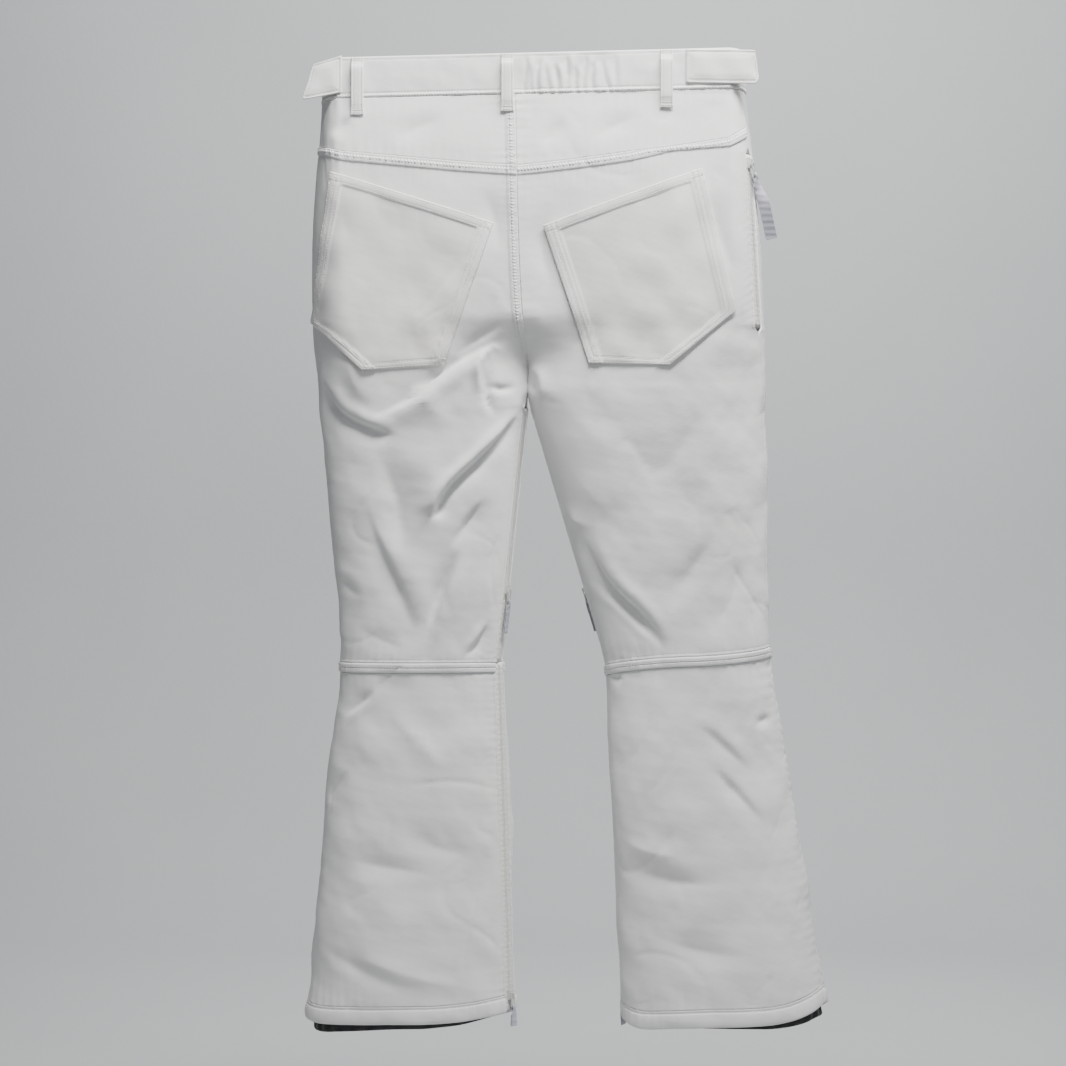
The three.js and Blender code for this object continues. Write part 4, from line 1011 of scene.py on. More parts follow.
def ring_grid(half, top, bottom, places):
    """A grid round a leg from the inner seam and back to it, with the cloth's lift."""
    rows = []
    for face in (BACK, FRONT):
        points, normals = grid_between(half, face, top, bottom, edge_spaced(LEG_FACE_WIDTH), places)
        lift = settle(half, face, points, normals)
        if face == FRONT:
            points, normals, lift = points[:, ::-1], normals[:, ::-1], lift[:, ::-1]
        rows.append((points, normals, lift))
    return tuple(np.concatenate([back, front], 1) for back, front in zip(*rows))


def make_knee_band(half, thread, seed):
    gap = EDGE_GAP / 2
    knee = knee_edge(half)
    height = KNEE_BAND_HEIGHT - 2 * gap
    top, bottom = lowered(knee, gap), lowered(knee, height + gap)
    points, normals, lift = ring_grid(half, top, bottom, np.linspace(0, 1, 23))
    run, back, drop, _ = distances(points)
    lobes = 1.1 * np.abs(np.sin(math.pi * drop / (height / 2))) ** 0.4
    raised = lift + 0.7 + lobes + pucker(drop * 0, run, seed, amount=0.18)
    ends = round_edge(np.minimum(run, back), 1.5)
    outer = raise_by(points, normals, raised - ends)
    inner = raise_by(points, normals, lift - CLOTH)
    make_sheet(f"knee_band_{half.name}", outer, inner, WHITE_SHELL, points)
    for at in (height * 0.5 - 1.2, height * 0.5 + 1.2):
        thread.follow(outer, normals, drop, at, 0)


def make_hem_band(half, thread, seed):
    gap = EDGE_GAP / 2
    hem = hem_edge(half)
    top, bottom = lowered(hem, gap), lowered(hem, HEM_BAND_HEIGHT)
    points, normals, lift = ring_grid(half, top, bottom, np.linspace(0, 1, 30) ** 1.1)
    run, back, _, rise = distances(points)
    puff = 1.3 * np.sin(math.pi * clamp01(rise / HEM_STITCH)) ** 0.6
    ripple = pucker(np.abs(rise - HEM_STITCH + 2), run, seed, amount=0.5, reach=9, pitch=10)
    raised = lift + 0.2 + puff + groove(rise, HEM_STITCH, 0.5) + ripple
    ends = round_edge(np.minimum(run, back), 1.5) + round_edge(rise, 2.0)
    outer = raise_by(points, normals, raised - ends)
    inner = raise_by(points, normals, lift - CLOTH + round_edge(rise, 1.2))
    make_sheet(f"hem_band_{half.name}", outer, inner, WHITE_SHELL, points)
    thread.follow(outer, normals, rise, HEM_STITCH, 0)


def make_gaiter(half, seed):
    """The stretch tube inside the hem, gathered by the elastic inside its foot."""
    hem = hem_edge(half)

    def foot(s):
        return hem(s) - HEM_BAND_HEIGHT - lerp(half.gaiters[0], half.gaiters[1], s)

    top = lowered(foot, -GAITER_HEIGHT)
    places = np.concatenate([np.linspace(0, 0.9, 46), np.linspace(0.905, 1, 18)])
    points, normals, lift = ring_grid(half, top, foot, places)
    run, _, drop, rise = distances(points)
    up = GAITER_HEIGHT * (1 - places)[:, None]
    inset = np.interp(-up, [-GAITER_HEIGHT, -135, -90, 0], [3.1, 4.1, GAITER_INSET, GAITER_INSET])
    gathers = 0.9 * np.sin(run / GATHER + np.sin(run / 17.0 + seed))
    gathers = gathers * (1 - smoothstep(up / 60)) * smoothstep(up / 3)
    casing = 0.5 * (1 - smoothstep((up - 10) / 2)) + groove(up, 10.5, 0.6)
    outer = raise_by(points, normals, lift - inset + gathers + casing - round_edge(rise, 0.8))
    inner = raise_by(points, normals, lift - inset + gathers - 1.5)
    make_sheet(f"gaiter_{half.name}", outer, inner, BLACK_STRETCH, points, ring=True)
    points, normals, lift = ring_grid(half, lowered(foot, -9), lowered(foot, -1), np.linspace(0, 1, 12))
    run, _, drop, _ = distances(points)
    ribs = 0.25 * np.sin(TURN * drop / 2.0) + 0.3 * np.sin(run / GATHER)
    outer = raise_by(points, normals, lift - GAITER_INSET - 2.0)
    inner = raise_by(points, normals, lift - GAITER_INSET - 3.2 + ribs)
    make_sheet(f"gaiter_elastic_{half.name}", outer, inner, ELASTIC_RIB, points, ring=True)


# Waistband.
def waist_points(half, turns):
    spot = section(half, -WAISTBAND_HEIGHT, turns)
    normal = outward(half, -WAISTBAND_HEIGHT, turns)
    return spot, normal


def flat_end(half):
    return float(half.outer(-WAISTBAND_HEIGHT) - half.corner(-WAISTBAND_HEIGHT) * half.side)


def seam_turn(half, way):
    t = half.seams[0]
    return t + way * EDGE_GAP / float(speed(half, -WAISTBAND_HEIGHT, t))


def front_turn(half, x):
    seam = float(half.front_seam(-WAISTBAND_HEIGHT))
    return TURN - (x - seam) / (flat_end(half) - seam) * STRAIGHT_SHARE * math.pi


def band_grid(spot, normal):
    """Rows of the waistband's grid, from its top edge to its lower one."""
    places = edge_spaced(WAISTBAND_HEIGHT, 2.0)
    x = spot[:, 0]
    z = WAIST_TILT * x[None, :] - WAISTBAND_HEIGHT * places[:, None]
    points = np.stack([np.broadcast_to(spot[:, 0], z.shape), np.broadcast_to(spot[:, 1], z.shape), z], -1)
    flat = np.stack([normal[:, 0], normal[:, 1], np.zeros(len(x))], -1)
    return points, np.broadcast_to(flat, points.shape)


BAND_LOW_STITCH = 4.6
BAND_TOP_STITCH = 4.0
# The place and size of each pleat.
PLEATS = [
    (-9, 1.1), (-3, 0.9), (6, 1.6), (15, 0.8), (26, 1.9), (37, 1.2),
    (46, 1.7), (57, 1.0), (67, 1.5), (80, 0.9), (92, 0.7),
]


def pleats(x, down):
    """The gathers that the elastic makes beside the centre loop."""
    value = np.zeros_like(x)
    for i, (place, size) in enumerate(PLEATS):
        lean = 5 * math.sin(2.3 * i) * (down - 0.5) + 1.5 * np.sin(5 * down + i)
        reach = smoothstep((down - 0.3 * math.sin(1.3 * i) ** 2) / 0.25)
        reach = reach * (1 - 0.6 * smoothstep((down - 0.75) / 0.25))
        value -= 1.5 * size * reach * np.exp(-1.3 * np.abs(x - place - lean) / 2.4)
        value += size * reach * np.exp(-(((x - place - 5.2 - lean) / 3.4) ** 2))
    return value


def make_band(node, points, normals, step_out, thread, ridges, seed, gathered):
    run, back, drop, rise = distances(points)
    down = drop / WAISTBAND_HEIGHT
    facing = smoothstep(np.abs(normals[..., 1]) * 1.5)
    wave = 0.35 * MIDDLE(points) + 0.12 * SMALL(points)
    lift = step_out + wave * facing * smoothstep(drop / 6) + 0.5 * np.sin(math.pi * clamp01(down))
    if gathered:
        lift = lift + pleats(points[..., 0], down)
    lift = lift + groove(rise, BAND_LOW_STITCH, 0.7) + groove(drop, BAND_TOP_STITCH, 0.4)
    lift = lift + raised_band(rise, 4.0, 0.7)
    lift = lift + pucker(rise, run, seed, amount=0.35, reach=6, pitch=7)
    rim = round_edge(drop, 1.9) + round_edge(rise, 1.3) + round_edge(np.minimum(run, back), 1.2)
    outer = raise_by(points, normals, lift - rim)
    inner_lift = lift - BAND_CLOTH + round_edge(drop, 1.9) + round_edge(rise, 1.0)
    inner = raise_by(points, normals, inner_lift)
    make_sheet(node, outer, inner, WHITE_SHELL, points)
    thread.follow(outer, normals, rise, BAND_LOW_STITCH, 0)
    thread.follow(outer, normals, drop, BAND_TOP_STITCH, 0)
    ladder_at = 2.2
    path, out = line_at(outer, rise, ladder_at, 0), line_at(normals, rise, ladder_at, 0)
    ridges.ladder(path, out, width=2.6, pitch=3.2, height=0.12)


def make_waistband():
    thread = Stitches("stitching_waistband")
    ridges = Stitches("waistband_ridges")
    left, left_out = waist_points(LEFT, np.linspace(seam_turn(LEFT, -1), 1e-3, 170))
    right, right_out = waist_points(RIGHT, np.linspace(1e-3, seam_turn(RIGHT, -1), 170))
    spot, normal = np.concatenate([left, right[1:]]), np.concatenate([left_out, right_out[1:]])
    points, normals = band_grid(spot, normal)
    make_band("waistband_back", points, normals, 0, thread, ridges, 1, gathered=True)
    centre = float(LEFT.front_seam(-WAISTBAND_HEIGHT))
    turns = np.linspace(seam_turn(RIGHT, 1), front_turn(RIGHT, centre - FLY_OVERLAP + 1), 110)
    points, normals = band_grid(*waist_points(RIGHT, turns))
    make_band("waistband_front_right", points, normals, 0, thread, ridges, 2, gathered=False)
    turns = np.linspace(seam_turn(LEFT, 1), front_turn(LEFT, centre + FLY_OVERLAP), 110)
    points, normals = band_grid(*waist_points(LEFT, turns))
    past = smoothstep((points[..., 0] - (centre - FLY_OVERLAP - 5)) / 5)
    step_out = past * (BAND_CLOTH + EDGE_GAP)
    make_band("waistband_front_left", points, normals, step_out, thread, ridges, 3, gathered=False)
    thread.make(THREAD)
    ridges.make(WHITE_SHELL)


# Straps: belt loops, tabs and ribbons.
STRAP_SEAM = 2.4


def strap(name, path, side, widths, thickness, mat, seam_depth=0.0):
    """A flat strap along a path. side is its level direction across, widths its width at each point."""
    path = np.asarray(path, float)
    side = np.asarray(side, float)
    normal = unit(np.cross(side, unit(np.gradient(path, axis=0))))
    widths = np.broadcast_to(np.asarray(widths, float), len(path))
    side = np.broadcast_to(side, path.shape)[:, None]
    side_shares = [1, 0.985, 0.95, 0.9, 0.84, 0.78, 0.72, 0.66, 0.6, 0.5, 0.35, 0.15]
    shares = np.array([-share for share in side_shares] + [0] + side_shares[::-1]) / 2
    points = path[:, None] + side * (widths[:, None] * shares)[..., None]
    normals = np.broadcast_to(normal[:, None], points.shape)
    edge = (0.5 - np.abs(shares))[None, :] * widths[:, None]
    half = thickness / 2 - round_edge(edge, thickness / 2 - 0.05)
    half = half - seam_depth * np.exp(-(((edge - STRAP_SEAM) / 0.7) ** 2))
    outer, inner = raise_by(points, normals, half), raise_by(points, normals, -half)
    return sheet_mesh(name, outer, inner, mat), points, normals, half


LOOP_WIDTH, LOOP_THICK, LOOP_ROOM, LOOP_FOOT, LOOP_DROP = 13.5, 1.8, 4.6, 9, 19
BELT_LOOPS = [
    ("belt_loop_back_left", 0.042, BACK),
    ("belt_loop_back_centre", 0.431, BACK),
    ("belt_loop_back_right", 0.844, BACK),
    ("belt_loop_front_left", 0.183, FRONT),
    ("belt_loop_front_right", 0.824, FRONT),
]


def make_belt_loops():
    thread = Stitches("stitching_belt_loops")
    for name, share, face in BELT_LOOPS:
        x = lerp(flat_end(LEFT), flat_end(RIGHT), share)
        half = LEFT if x < 0 else RIGHT
        top = WAIST_TILT * x - 1
        bottom = top - WAISTBAND_HEIGHT - LOOP_DROP
        depth = half.back_depth if face == BACK else half.front_depth
        middle = LOOP_THICK / 2
        wall = float(depth(0)) + EDGE_GAP + middle
        room = float(depth(0)) + LOOP_ROOM + middle
        foot = float(depth(bottom)) + EDGE_GAP + middle + 0.6
        # The loop's side view: sewn at the top, clear of the band down its middle, sewn at its foot.
        profile_points = [
            (wall, top - 0.3), (wall, top - 4), (lerp(wall, room, 0.5), top - LOOP_FOOT), (room, top - 14),
            (room, (top + bottom) / 2), (room, bottom + 15), (lerp(foot, room, 0.5), bottom + LOOP_FOOT + 1),
            (foot, bottom + 5), (foot, bottom + 0.3),
        ]
        line = smooth_line(profile_points, 6)
        path = np.stack([np.full(len(line), x), -face * line[:, 0], line[:, 1]], -1)
        widths = LOOP_WIDTH + 1.4 * smoothstep((bottom + 12 - line[:, 1]) / 12)
        obj, points, normals, half_thick = strap(
            f"{name}_cloth", path, (-face, 0, 0), widths, LOOP_THICK, CREAM_SHELL, seam_depth=0.45
        )
        declare_sheet(obj, points, name)
        outward_way = np.array([0.0, -face, 0.0])
        flip = 1 if normals[len(path) // 2, 0] @ outward_way > 0 else -1
        outer = points + normals * (flip * half_thick)[..., None]
        out = normals * flip
        for column in (7, -8):
            thread.row(outer[:, column], out[:, column], pitch=2.6, length=1.9, width=0.8, height=0.5)
        for height in (top - 3, top - 5, bottom + 3, bottom + 5.5):
            row = int(np.argmin(np.abs(line[:, 1] - height)))
            thread.row(outer[row, 2:-2], out[row, 2:-2], pitch=0.9, length=1.6, width=0.7)
    thread.make(THREAD)


TAB_THICK = 2
TAB_STITCH = 2.8
# Each tab's half, its root's place beside the corner, and its upper and lower edges from there.
TABS = {
    "waist_tab_left": (
        LEFT, 0.5,
        [(0, -4), (-14, -8.5), (-30, -13.5), (-32, -17)],
        [(0, -45), (-22, -49.5), (-41.5, -53), (-43, -50.5)],
    ),
    "waist_tab_right": (
        RIGHT, -45.5,
        [(0, 3), (71, 2), (76, -0.5), (78, -4)],
        [(0, -34), (70, -35.5), (78, -34.5), (81.5, -30)],
    ),
}


def tab_edge(corners):
    return smooth_line(corners, 4)


def path_share(line):
    """Each point's share of a line's length."""
    steps = np.linalg.norm(np.diff(np.asarray(line), axis=0), axis=1)
    run = np.concatenate([[0], steps.cumsum()])
    return run / run[-1]


def make_tabs():
    for name, (half, root, upper, lower) in TABS.items():
        x = flat_end(half) + root
        thread = Stitches(f"stitching_{name}", name)
        places = np.linspace(0, 1, 48)
        height = 33
        across = edge_spaced(height, 2.0)
        top, bottom = (resample(line, path_share(line), places) for line in map(tab_edge, (upper, lower)))
        flat = lerp(top[:, None], bottom[:, None], across[None, :, None])
        y = -float(half.back_depth(0)) - EDGE_GAP - TAB_THICK / 2
        from_root = np.abs(flat[..., 0])
        curl = 1.2 * smoothstep((from_root - 18) / 60)
        crumple = 0.3 * np.sin(flat[..., 0] / 6.0 + flat[..., 1] / 9.0) * smoothstep(from_root / 12)
        points = np.stack([flat[..., 0] + x, y - curl - crumple, flat[..., 1]], -1)
        normals = np.broadcast_to(np.array([0.0, -1.0, 0.0]), points.shape)
        run, back, drop, rise = distances(points)
        edge = np.minimum.reduce([run, back, drop, rise])
        thick = TAB_THICK / 2 - round_edge(edge, 0.9) + groove(edge, TAB_STITCH, 0.8)
        thick = thick + 0.7 * smoothstep((edge - 3) / 8)
        outer = raise_by(points, normals, thick)
        make_sheet(name, outer, raise_by(points, normals, -thick), CREAM_SHELL, points, body=name)
        for distance, axis in ((run, 1), (back, 1), (drop, 0), (rise, 0)):
            thread.follow(outer, normals, distance, TAB_STITCH, axis, pitch=3.0, length=2.2)
        thread.make(THREAD)


# Back pockets.
EDGE_STITCH = 1.8
SECOND_STITCH = 7.5
SIDE_BAND_STITCH = POCKET_BAND - 2.2
MOUTH_STITCH = POCKET_MOUTH_BAND - 1.8


def turn_at(half, z, x):
    """The turn at which the back has an x, by halving."""
    low, high = np.zeros_like(z), np.full_like(z, math.pi)
    halvings = 34
    for _ in range(halvings):
        middle = (low + high) / 2
        past = half.side * (section(half, z, middle)[..., 0] - x) > 0
        low, high = np.where(past, low, middle), np.where(past, middle, high)
    return low


def on_back(half, x, z):
    """The seat's point and normal at a place across it."""
    a_t, a_reach, _, _ = inner_seam(half, BACK, z)
    b_t, b_reach, _, _ = outer_seam(half, z)
    start_turn = a_t + a_reach / speed(half, z, a_t)
    end_turn = b_t - b_reach / speed(half, z, b_t)
    return surface(half, BACK, (turn_at(half, z, x) - start_turn) / (end_turn - start_turn), z)


def make_pocket(half, seed):
    corners = []
    for across, down in half.pocket:
        z = -lerp(half.yokes[0], RISE, down)
        corners.append((lerp(float(half.back_seam(z)), float(half.outer(z)), across), z))
    inner_top, outer_top, outer_side, outer_foot, inner_foot = np.array(corners)
    knee = 0.72
    wide, tall = 150, 170
    u, v = np.meshgrid(edge_spaced(wide), edge_spaced(tall))
    u, v = u[..., None], v[..., None]
    inside = lerp(inner_top, inner_foot, v)
    upper_side = lerp(outer_top, outer_side, v / knee)
    lower_side = lerp(outer_side, outer_foot, (v - knee) / (1 - knee))
    outside = np.where(v < knee, upper_side, lower_side)
    flat = lerp(inside, outside, u)
    points, normals = on_back(half, flat[..., 0], flat[..., 1])
    run, back, drop, rise = distances(points)
    sewn = np.minimum.reduce([run, back, rise])
    puff = smoothstep((sewn - 9) / 34) * (1.0 + 2.6 * (1 - smoothstep(drop / 95)))
    side = np.minimum(run, back)
    bands = np.maximum(raised_band(side, POCKET_BAND, 1.3), raised_band(drop, POCKET_MOUTH_BAND, 1.4))
    grooves = groove(sewn, EDGE_STITCH) + groove(side, SIDE_BAND_STITCH, 0.8)
    grooves = grooves + groove(sewn, SECOND_STITCH, 0.5)
    grooves = grooves + groove(drop, MOUTH_STITCH, 0.6) + groove(drop, EDGE_STITCH, 0.4)
    ripple = pucker(sewn, run + drop, seed, amount=0.3, reach=9, pitch=8) + 0.25 * MIDDLE(points)
    lift = settle(half, BACK, points, normals) + 2.3 + puff + bands + grooves + ripple
    edge = np.minimum(sewn, drop)
    outer = raise_by(points, normals, lift - round_edge(edge, 1.6))
    inner = raise_by(points, normals, lift - 2.0)
    make_sheet(f"back_pocket_{half.name}", outer, inner, CREAM_SHELL, points)
    thread = Stitches(f"stitching_pocket_{half.name}")
    rows = [(run, EDGE_STITCH, 1), (back, EDGE_STITCH, 1), (rise, EDGE_STITCH, 0), (rise, SECOND_STITCH, 0)]
    rows += [(drop, MOUTH_STITCH, 0), (run, SECOND_STITCH, 1), (back, SECOND_STITCH, 1)]
    rows += [(drop, EDGE_STITCH, 0), (run, SIDE_BAND_STITCH, 1), (back, SIDE_BAND_STITCH, 1)]
    for distance, at, axis in rows:
        thread.follow(outer, normals, distance, at, axis)
    thread.make(THREAD)


# Zips.
def prism_point(line, z, across, out):
    """A point at a height of a zip, so far across it and so far out of the cloth."""
    z, across, out = (np.asarray(value, float)[..., None] for value in (z, across, out))
    flat = line.point(z[..., 0]) + line.side * across + line.normal * out
    return np.concatenate([flat, np.broadcast_to(z, flat.shape[:-1] + (1,))], -1)


def make_zip(node, line, top, bottom):
    """The woven tape, with two rows of coil along its middle."""
    edge = SLOT_HALF - EDGE_GAP
    shares = [0.1, 0.34, 0.45, 0.7, 0.9, 0.97, 1]
    across = np.array([-share for share in reversed(shares)] + [0] + shares) * edge
    z = np.linspace(top, bottom, max(8, round((top - bottom) / 5)))
    a, zz = np.meshgrid(across, z)
    cord = 0.25 * np.exp(-(((np.abs(a) - 2.9) / 0.5) ** 2))
    outer = prism_point(line, zz, a, TAPE_FACE + cord - 0.15 * (np.abs(a) > edge * 0.95))
    inner = prism_point(line, zz, a, np.full_like(a, TAPE_FACE - 1.1))
    tape = sheet_mesh(f"{node}_tape", outer, inner, TAPE_CLOTH)
    declare_sheet(tape, outer, node)
    count = int((top - bottom - 4) // TOOTH_PITCH)
    # Each tooth is a half-round arch, low at the tape and tallest at the zip's middle.
    arc = [(math.cos(a), math.sin(a)) for a in np.linspace(0, math.pi, 6)]
    vertices, faces = [], []
    for k in range(count):
        for side in (-1, 1):
            middle = top - 2 - TOOTH_PITCH * (k + (0.25 if side > 0 else 0.75))
            start = len(vertices)
            for reach, size in ((0.15, 0.8), (2.25, 1.0)):
                for c, s in arc:
                    height = TAPE_FACE - 0.1 + size * s * (TOOTH_FACE - TAPE_FACE)
                    vertices.append(prism_point(line, middle + TOOTH_RADIUS * c, side * reach, height))
            n = len(arc)
            faces += [tuple(start + i for i in (j, j + 1, n + j + 1, n + j)) for j in range(n - 1)]
            faces += [(start, start + n, start + 2 * n - 1, start + n - 1)]
            faces += [tuple(start + j for j in reversed(range(n))), tuple(start + n + j for j in range(n))]
    coil = new_object(f"{node}_coil", vertices, faces, COIL_NYLON)
    fix_normals(coil)
    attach(coil, "pants")
    return tape


def fix_normals(obj):
    mesh = bmesh.new()
    mesh.from_mesh(obj.data)
    bmesh.ops.recalc_face_normals(mesh, faces=mesh.faces)
    mesh.to_mesh(obj.data)
    mesh.free()


def polish(node, mat, body, width=0.28):
    """A metal piece with its edges rounded, standing for its node."""
    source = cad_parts[node]
    mesh = bmesh.new()
    mesh.from_mesh(source.data)
    mesh.transform(source.matrix_world)
    bmesh.ops.remove_doubles(mesh, verts=mesh.verts, dist=1e-6)
    bmesh.ops.dissolve_limit(mesh, angle_limit=0.03, verts=mesh.verts, edges=mesh.edges)
    data = bpy.data.meshes.new(f"{node}_metal")
    mesh.to_mesh(data)
    mesh.free()
    data.materials.clear()
    data.materials.append(mat)
    data.shade_smooth()
    obj = bpy.data.objects.new(f"{node}_metal", data)
    bpy.context.scene.collection.objects.link(obj)
    bevel = obj.modifiers.new("edges", "BEVEL")
    bevel.width = width * MM
    bevel.segments = 2
    bevel.limit_method = "ANGLE"
    bevel.angle_limit = math.radians(28)
    bevel.harden_normals = True
    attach(obj, body)
    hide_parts(node)
    return obj


def make_ribbon(node, body, line, z, length, width, tilt, twist, seed):
    """A folded ribbon: its two layers hang from the puller's lower bar."""
    up, out, across = line.frame()
    centre = Vector((*line.point(z), z)) + out * AXIS_RISE
    basis = Matrix((across, up, out)).transposed()
    turn = basis @ Matrix.Rotation(tilt, 3, "Z")
    end = -PULLER_LENGTH - length
    layer = 0.5
    # The ribbon's middle line, down one layer and back up the other, through the puller's eye.
    lower = np.linspace(-20, end + 2, 14)
    sway = 0.25 * np.sin((lower + 15) / 9.0 + seed)
    route = [(-19, -layer), (-16, -1.15), (-13.6, -1.2), (-11.9, -0.7), (-11.55, 0)]
    route += [(-11.9, 0.7), (-13.6, 1.2), (-16, 1.15)]
    route += list(zip(lower, layer + sway))
    route += [(end + 0.3, 0.35), (end, 0), (end + 0.3, -0.35)]
    route += list(zip(lower[:1:-1], sway[:1:-1] - layer))
    fine = smooth_line(route, 3)
    neck = 4.0
    widths = lerp(neck, width, smoothstep((-fine[:, 0] - PULLER_LENGTH) / 6))
    facing = math.copysign(twist, (turn @ Vector((0, 1, 0))).dot(out.cross(Vector((0, -1, 0)))))
    path, sides = [], []
    for y, h in fine:
        angle = facing * smoothstep((-y - 17) / 34)
        lift = max(0.0, width / 2 * math.sin(abs(angle)) - 2.4)
        twisted = turn @ Matrix.Rotation(angle, 3, "Y")
        path.append(centre + turn @ Vector((0, y, lift)) + twisted @ Vector((0, 0, h)))
        sides.append(twisted @ Vector((1, 0, 0)))
    obj, points, _, _ = strap(f"{node}_cloth", path, sides, widths, RIBBON_THICK, RIBBON_CLOTH)
    declare_sheet(obj, points, node, body=body)


# How far a ribbon has twisted round towards the back of the garment at its end.
RIBBON_TWISTS = {("pocket", "right"): 0.95, ("shin", "left"): 0.5}
# Each ribbon's length and width.
RIBBONS = {"pocket": (74, 13), "vent": (34, 9), "shin": (20, 9)}
RIBBON_THICK = 0.62


def make_zips(half):
    """A half's three zips, each with its slider, puller and ribbon."""
    gap = EDGE_GAP / 2
    hem_foot = half.hems[0] + HEM_BAND_HEIGHT
    lines = {"pocket": half.pocket_line, "vent": half.vent_line, "shin": half.shin_line}
    make_zip(f"pocket_zip_{half.name}", half.pocket_line, -POCKET_ZIP_TOP - gap, -POCKET_ZIP_BOTTOM + gap)
    make_zip(f"vent_zip_{half.name}", half.vent_line, -VENT_TOP_DROP - gap, -half.knees[0] + gap)
    make_zip(f"shin_zip_{half.name}", half.shin_line, -half.knees[0] - gap, -hem_foot)
    stops = {
        "pocket": -POCKET_ZIP_TOP - SLIDER_STOP,
        "vent": -KNEE_DROP + VENT_STOP,
        "shin": -hem_foot + HEM_STOP,
    }
    for i, (kind, line) in enumerate(lines.items()):
        slider, puller = f"{kind}_slider_{half.name}", f"{kind}_puller_{half.name}"
        polish(slider, ZIP_METAL, slider)
        polish(puller, ZIP_METAL, puller, 0.2)
        length, width = RIBBONS[kind]
        tilt = PULLER_TILT if kind == "pocket" and half is RIGHT else 0
        twist = RIBBON_TWISTS.get((kind, half.name), 0)
        make_ribbon(f"{kind}_ribbon_{half.name}", puller, line, stops[kind], length, width, tilt, twist, i)


def make_fly():
    """The fly's zip, the shield of cloth behind it and the snap above it."""
    gap = EDGE_GAP / 2
    top = -WAISTBAND_HEIGHT - 1
    make_zip("fly_zip", FLY, top, -FLY_BOTTOM + gap)
    polish("fly_slider", ZIP_METAL, "fly_slider")
    polish("fly_puller", ZIP_METAL, "fly_puller", 0.2)
    z = np.linspace(top, -FLY_BOTTOM, 70)
    wide = 40
    a, zz = np.meshgrid(edge_spaced(wide, 2.0) * wide - wide / 2, z)
    wave = 0.15 * np.sin(zz / 11.0 + a / 7.0)
    face = -CLOTH - EDGE_GAP - 0.2
    edge = wide / 2 - np.abs(a)
    outer = prism_point(FLY, zz, a, face + wave - round_edge(edge, 0.7))
    inner = prism_point(FLY, zz, a, face + wave - 1.4 + round_edge(edge, 0.6))
    make_sheet("fly_shield", outer, inner, WHITE_SHELL, outer)
    polish("fly_snap_cap", SNAP_METAL, "pants", 0.4)
    polish("fly_snap_stud", SNAP_METAL, "pants", 0.3)


def make_fly_stitching():
    """The curved rows of stitching that hold the fly's facing, on the wearer's left front."""
    thread = Stitches("stitching_fly")
    facing_width, facing_drop = 36, 8
    for inset in (0, 5):
        wide, low = facing_width - inset, -FLY_BOTTOM - facing_drop + inset
        straight = np.linspace(-WAISTBAND_HEIGHT - 3, low + wide, 40)
        bend = np.linspace(0, math.pi / 2, 24)[1:]
        z = np.concatenate([straight, low + wide - wide * np.sin(bend)])
        reach = np.concatenate([np.full(len(straight), float(wide)), wide * np.cos(bend)])
        seam_to_side = np.abs(LEFT.outer(z) - LEFT.front_seam(z)) + 0.3 * LEFT.front_depth(z)
        points, normals = surface(LEFT, FRONT, np.maximum(reach, 3) / seam_to_side, z)
        lift = settle(LEFT, FRONT, points, normals)
        thread.row(raise_by(points, normals, lift), normals)
    thread.make(THREAD)


# The stage, in metres: a pale sweep of paper behind and below, soft lights and the camera.
WALL_BEHIND, FLOOR_DROP = 3.2, 1.42
CAMERA_DISTANCE, VIEW_WIDTH, VIEW_DROP = 2.6, 1.194, 0.5355
VIEW_PLANE = 0.03


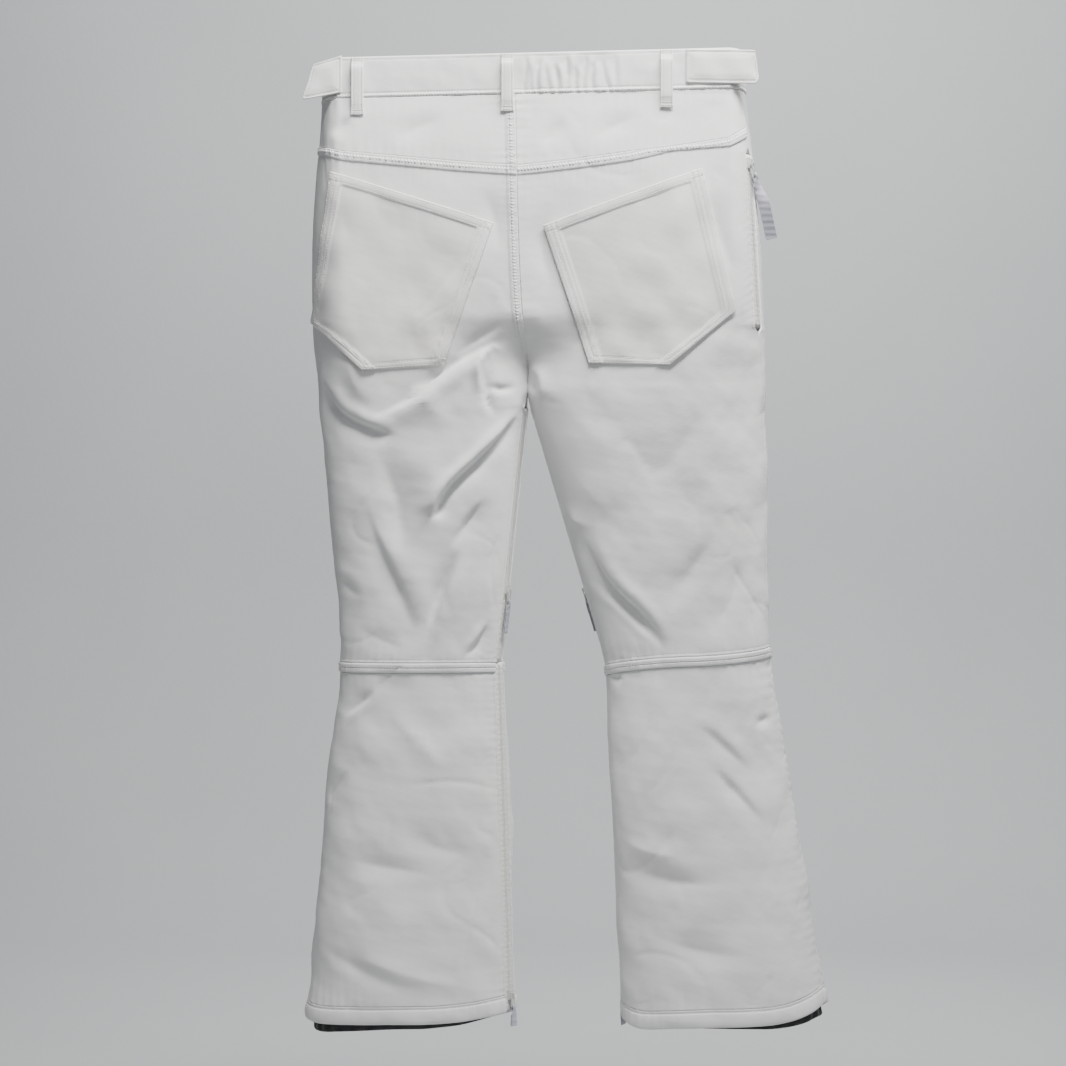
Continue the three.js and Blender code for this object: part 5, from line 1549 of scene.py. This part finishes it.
def make_sweep():
    """The wall behind, which curves into the floor."""
    bend = 0.9
    route = [(WALL_BEHIND, 3.0), (WALL_BEHIND, -FLOOR_DROP + bend)]
    for angle in np.linspace(0, math.pi / 2, 12)[1:]:
        back, down = bend * (1 - math.cos(angle)), bend * math.sin(angle)
        route.append((WALL_BEHIND - back, bend - FLOOR_DROP - down))
    route.append((-4.5, -FLOOR_DROP))
    vertices = [(x / MM, y / MM, z / MM) for y, z in route for x in (-6, 6)]
    faces = [(2 * i, 2 * i + 1, 2 * i + 3, 2 * i + 2) for i in range(len(route) - 1)]
    mat = material("pale_paper", (0.55, 0.56, 0.57), 0.95)
    point = object_point(mat)
    color = mottled_color(mat, point, (0.55, 0.56, 0.57), (0.5, 0.51, 0.52), 1.2, 0.7)
    grain = add_node(mat, "ShaderNodeTexNoise", {"Vector": point, "Scale": 90.0, "Detail": 5.0})
    finish_surface(mat, color, grain.outputs["Fac"], 0.25, 0.002, 0.9)
    sweep = new_object("backdrop", vertices, faces, mat)


def add_light(name, place, target, size, power, color=(1, 1, 1)):
    data = bpy.data.lights.new(name, "AREA")
    data.shape = "RECTANGLE"
    data.size, data.size_y = size
    data.energy = power
    data.color = color
    obj = bpy.data.objects.new(name, data)
    obj.location = place
    obj.rotation_euler = (Vector(target) - Vector(place)).to_track_quat("-Z", "Y").to_euler()
    bpy.context.scene.collection.objects.link(obj)


def make_stage():
    make_sweep()
    add_light("overhead", (0.4, -0.6, 1.0), (0.05, 0, -0.35), (1.2, 0.25), 74, (1, 0.99, 0.97))
    add_light("front", (1.4, -2.7, 0.6), (0, 0, -0.5), (1.2, 1.2), 11)
    add_light("wall_wash", (0.4, 1.3, 1.5), (0.2, WALL_BEHIND, -0.1), (2.6, 1.0), 75)
    world = bpy.data.worlds.new("room")
    world.use_nodes = True
    background = world.node_tree.nodes["Background"]
    background.inputs["Color"].default_value = (0.92, 0.95, 1, 1)
    background.inputs["Strength"].default_value = 0.17
    bpy.context.scene.world = world
    data = bpy.data.cameras.new("camera")
    data.lens = data.sensor_width * (CAMERA_DISTANCE - VIEW_PLANE) / VIEW_WIDTH
    camera = bpy.data.objects.new("camera", data)
    camera.location = (0, -CAMERA_DISTANCE, -VIEW_DROP)
    camera.rotation_euler = (math.pi / 2, 0, 0)
    bpy.context.scene.collection.objects.link(camera)
    bpy.context.scene.camera = camera


make_stage()
make_waistband()
make_belt_loops()
make_tabs()
for number, half in enumerate((LEFT, RIGHT)):
    thread, ridges = make_panels(half, 10 * number)
    make_knee_band(half, thread, 3 + number)
    make_hem_band(half, thread, 5 + number)
    thread.make(THREAD)
    ridges.make(WHITE_SHELL)
    make_gaiter(half, number)
    make_pocket(half, 2 + number)
    make_zips(half)
make_fly()
make_fly_stitching()
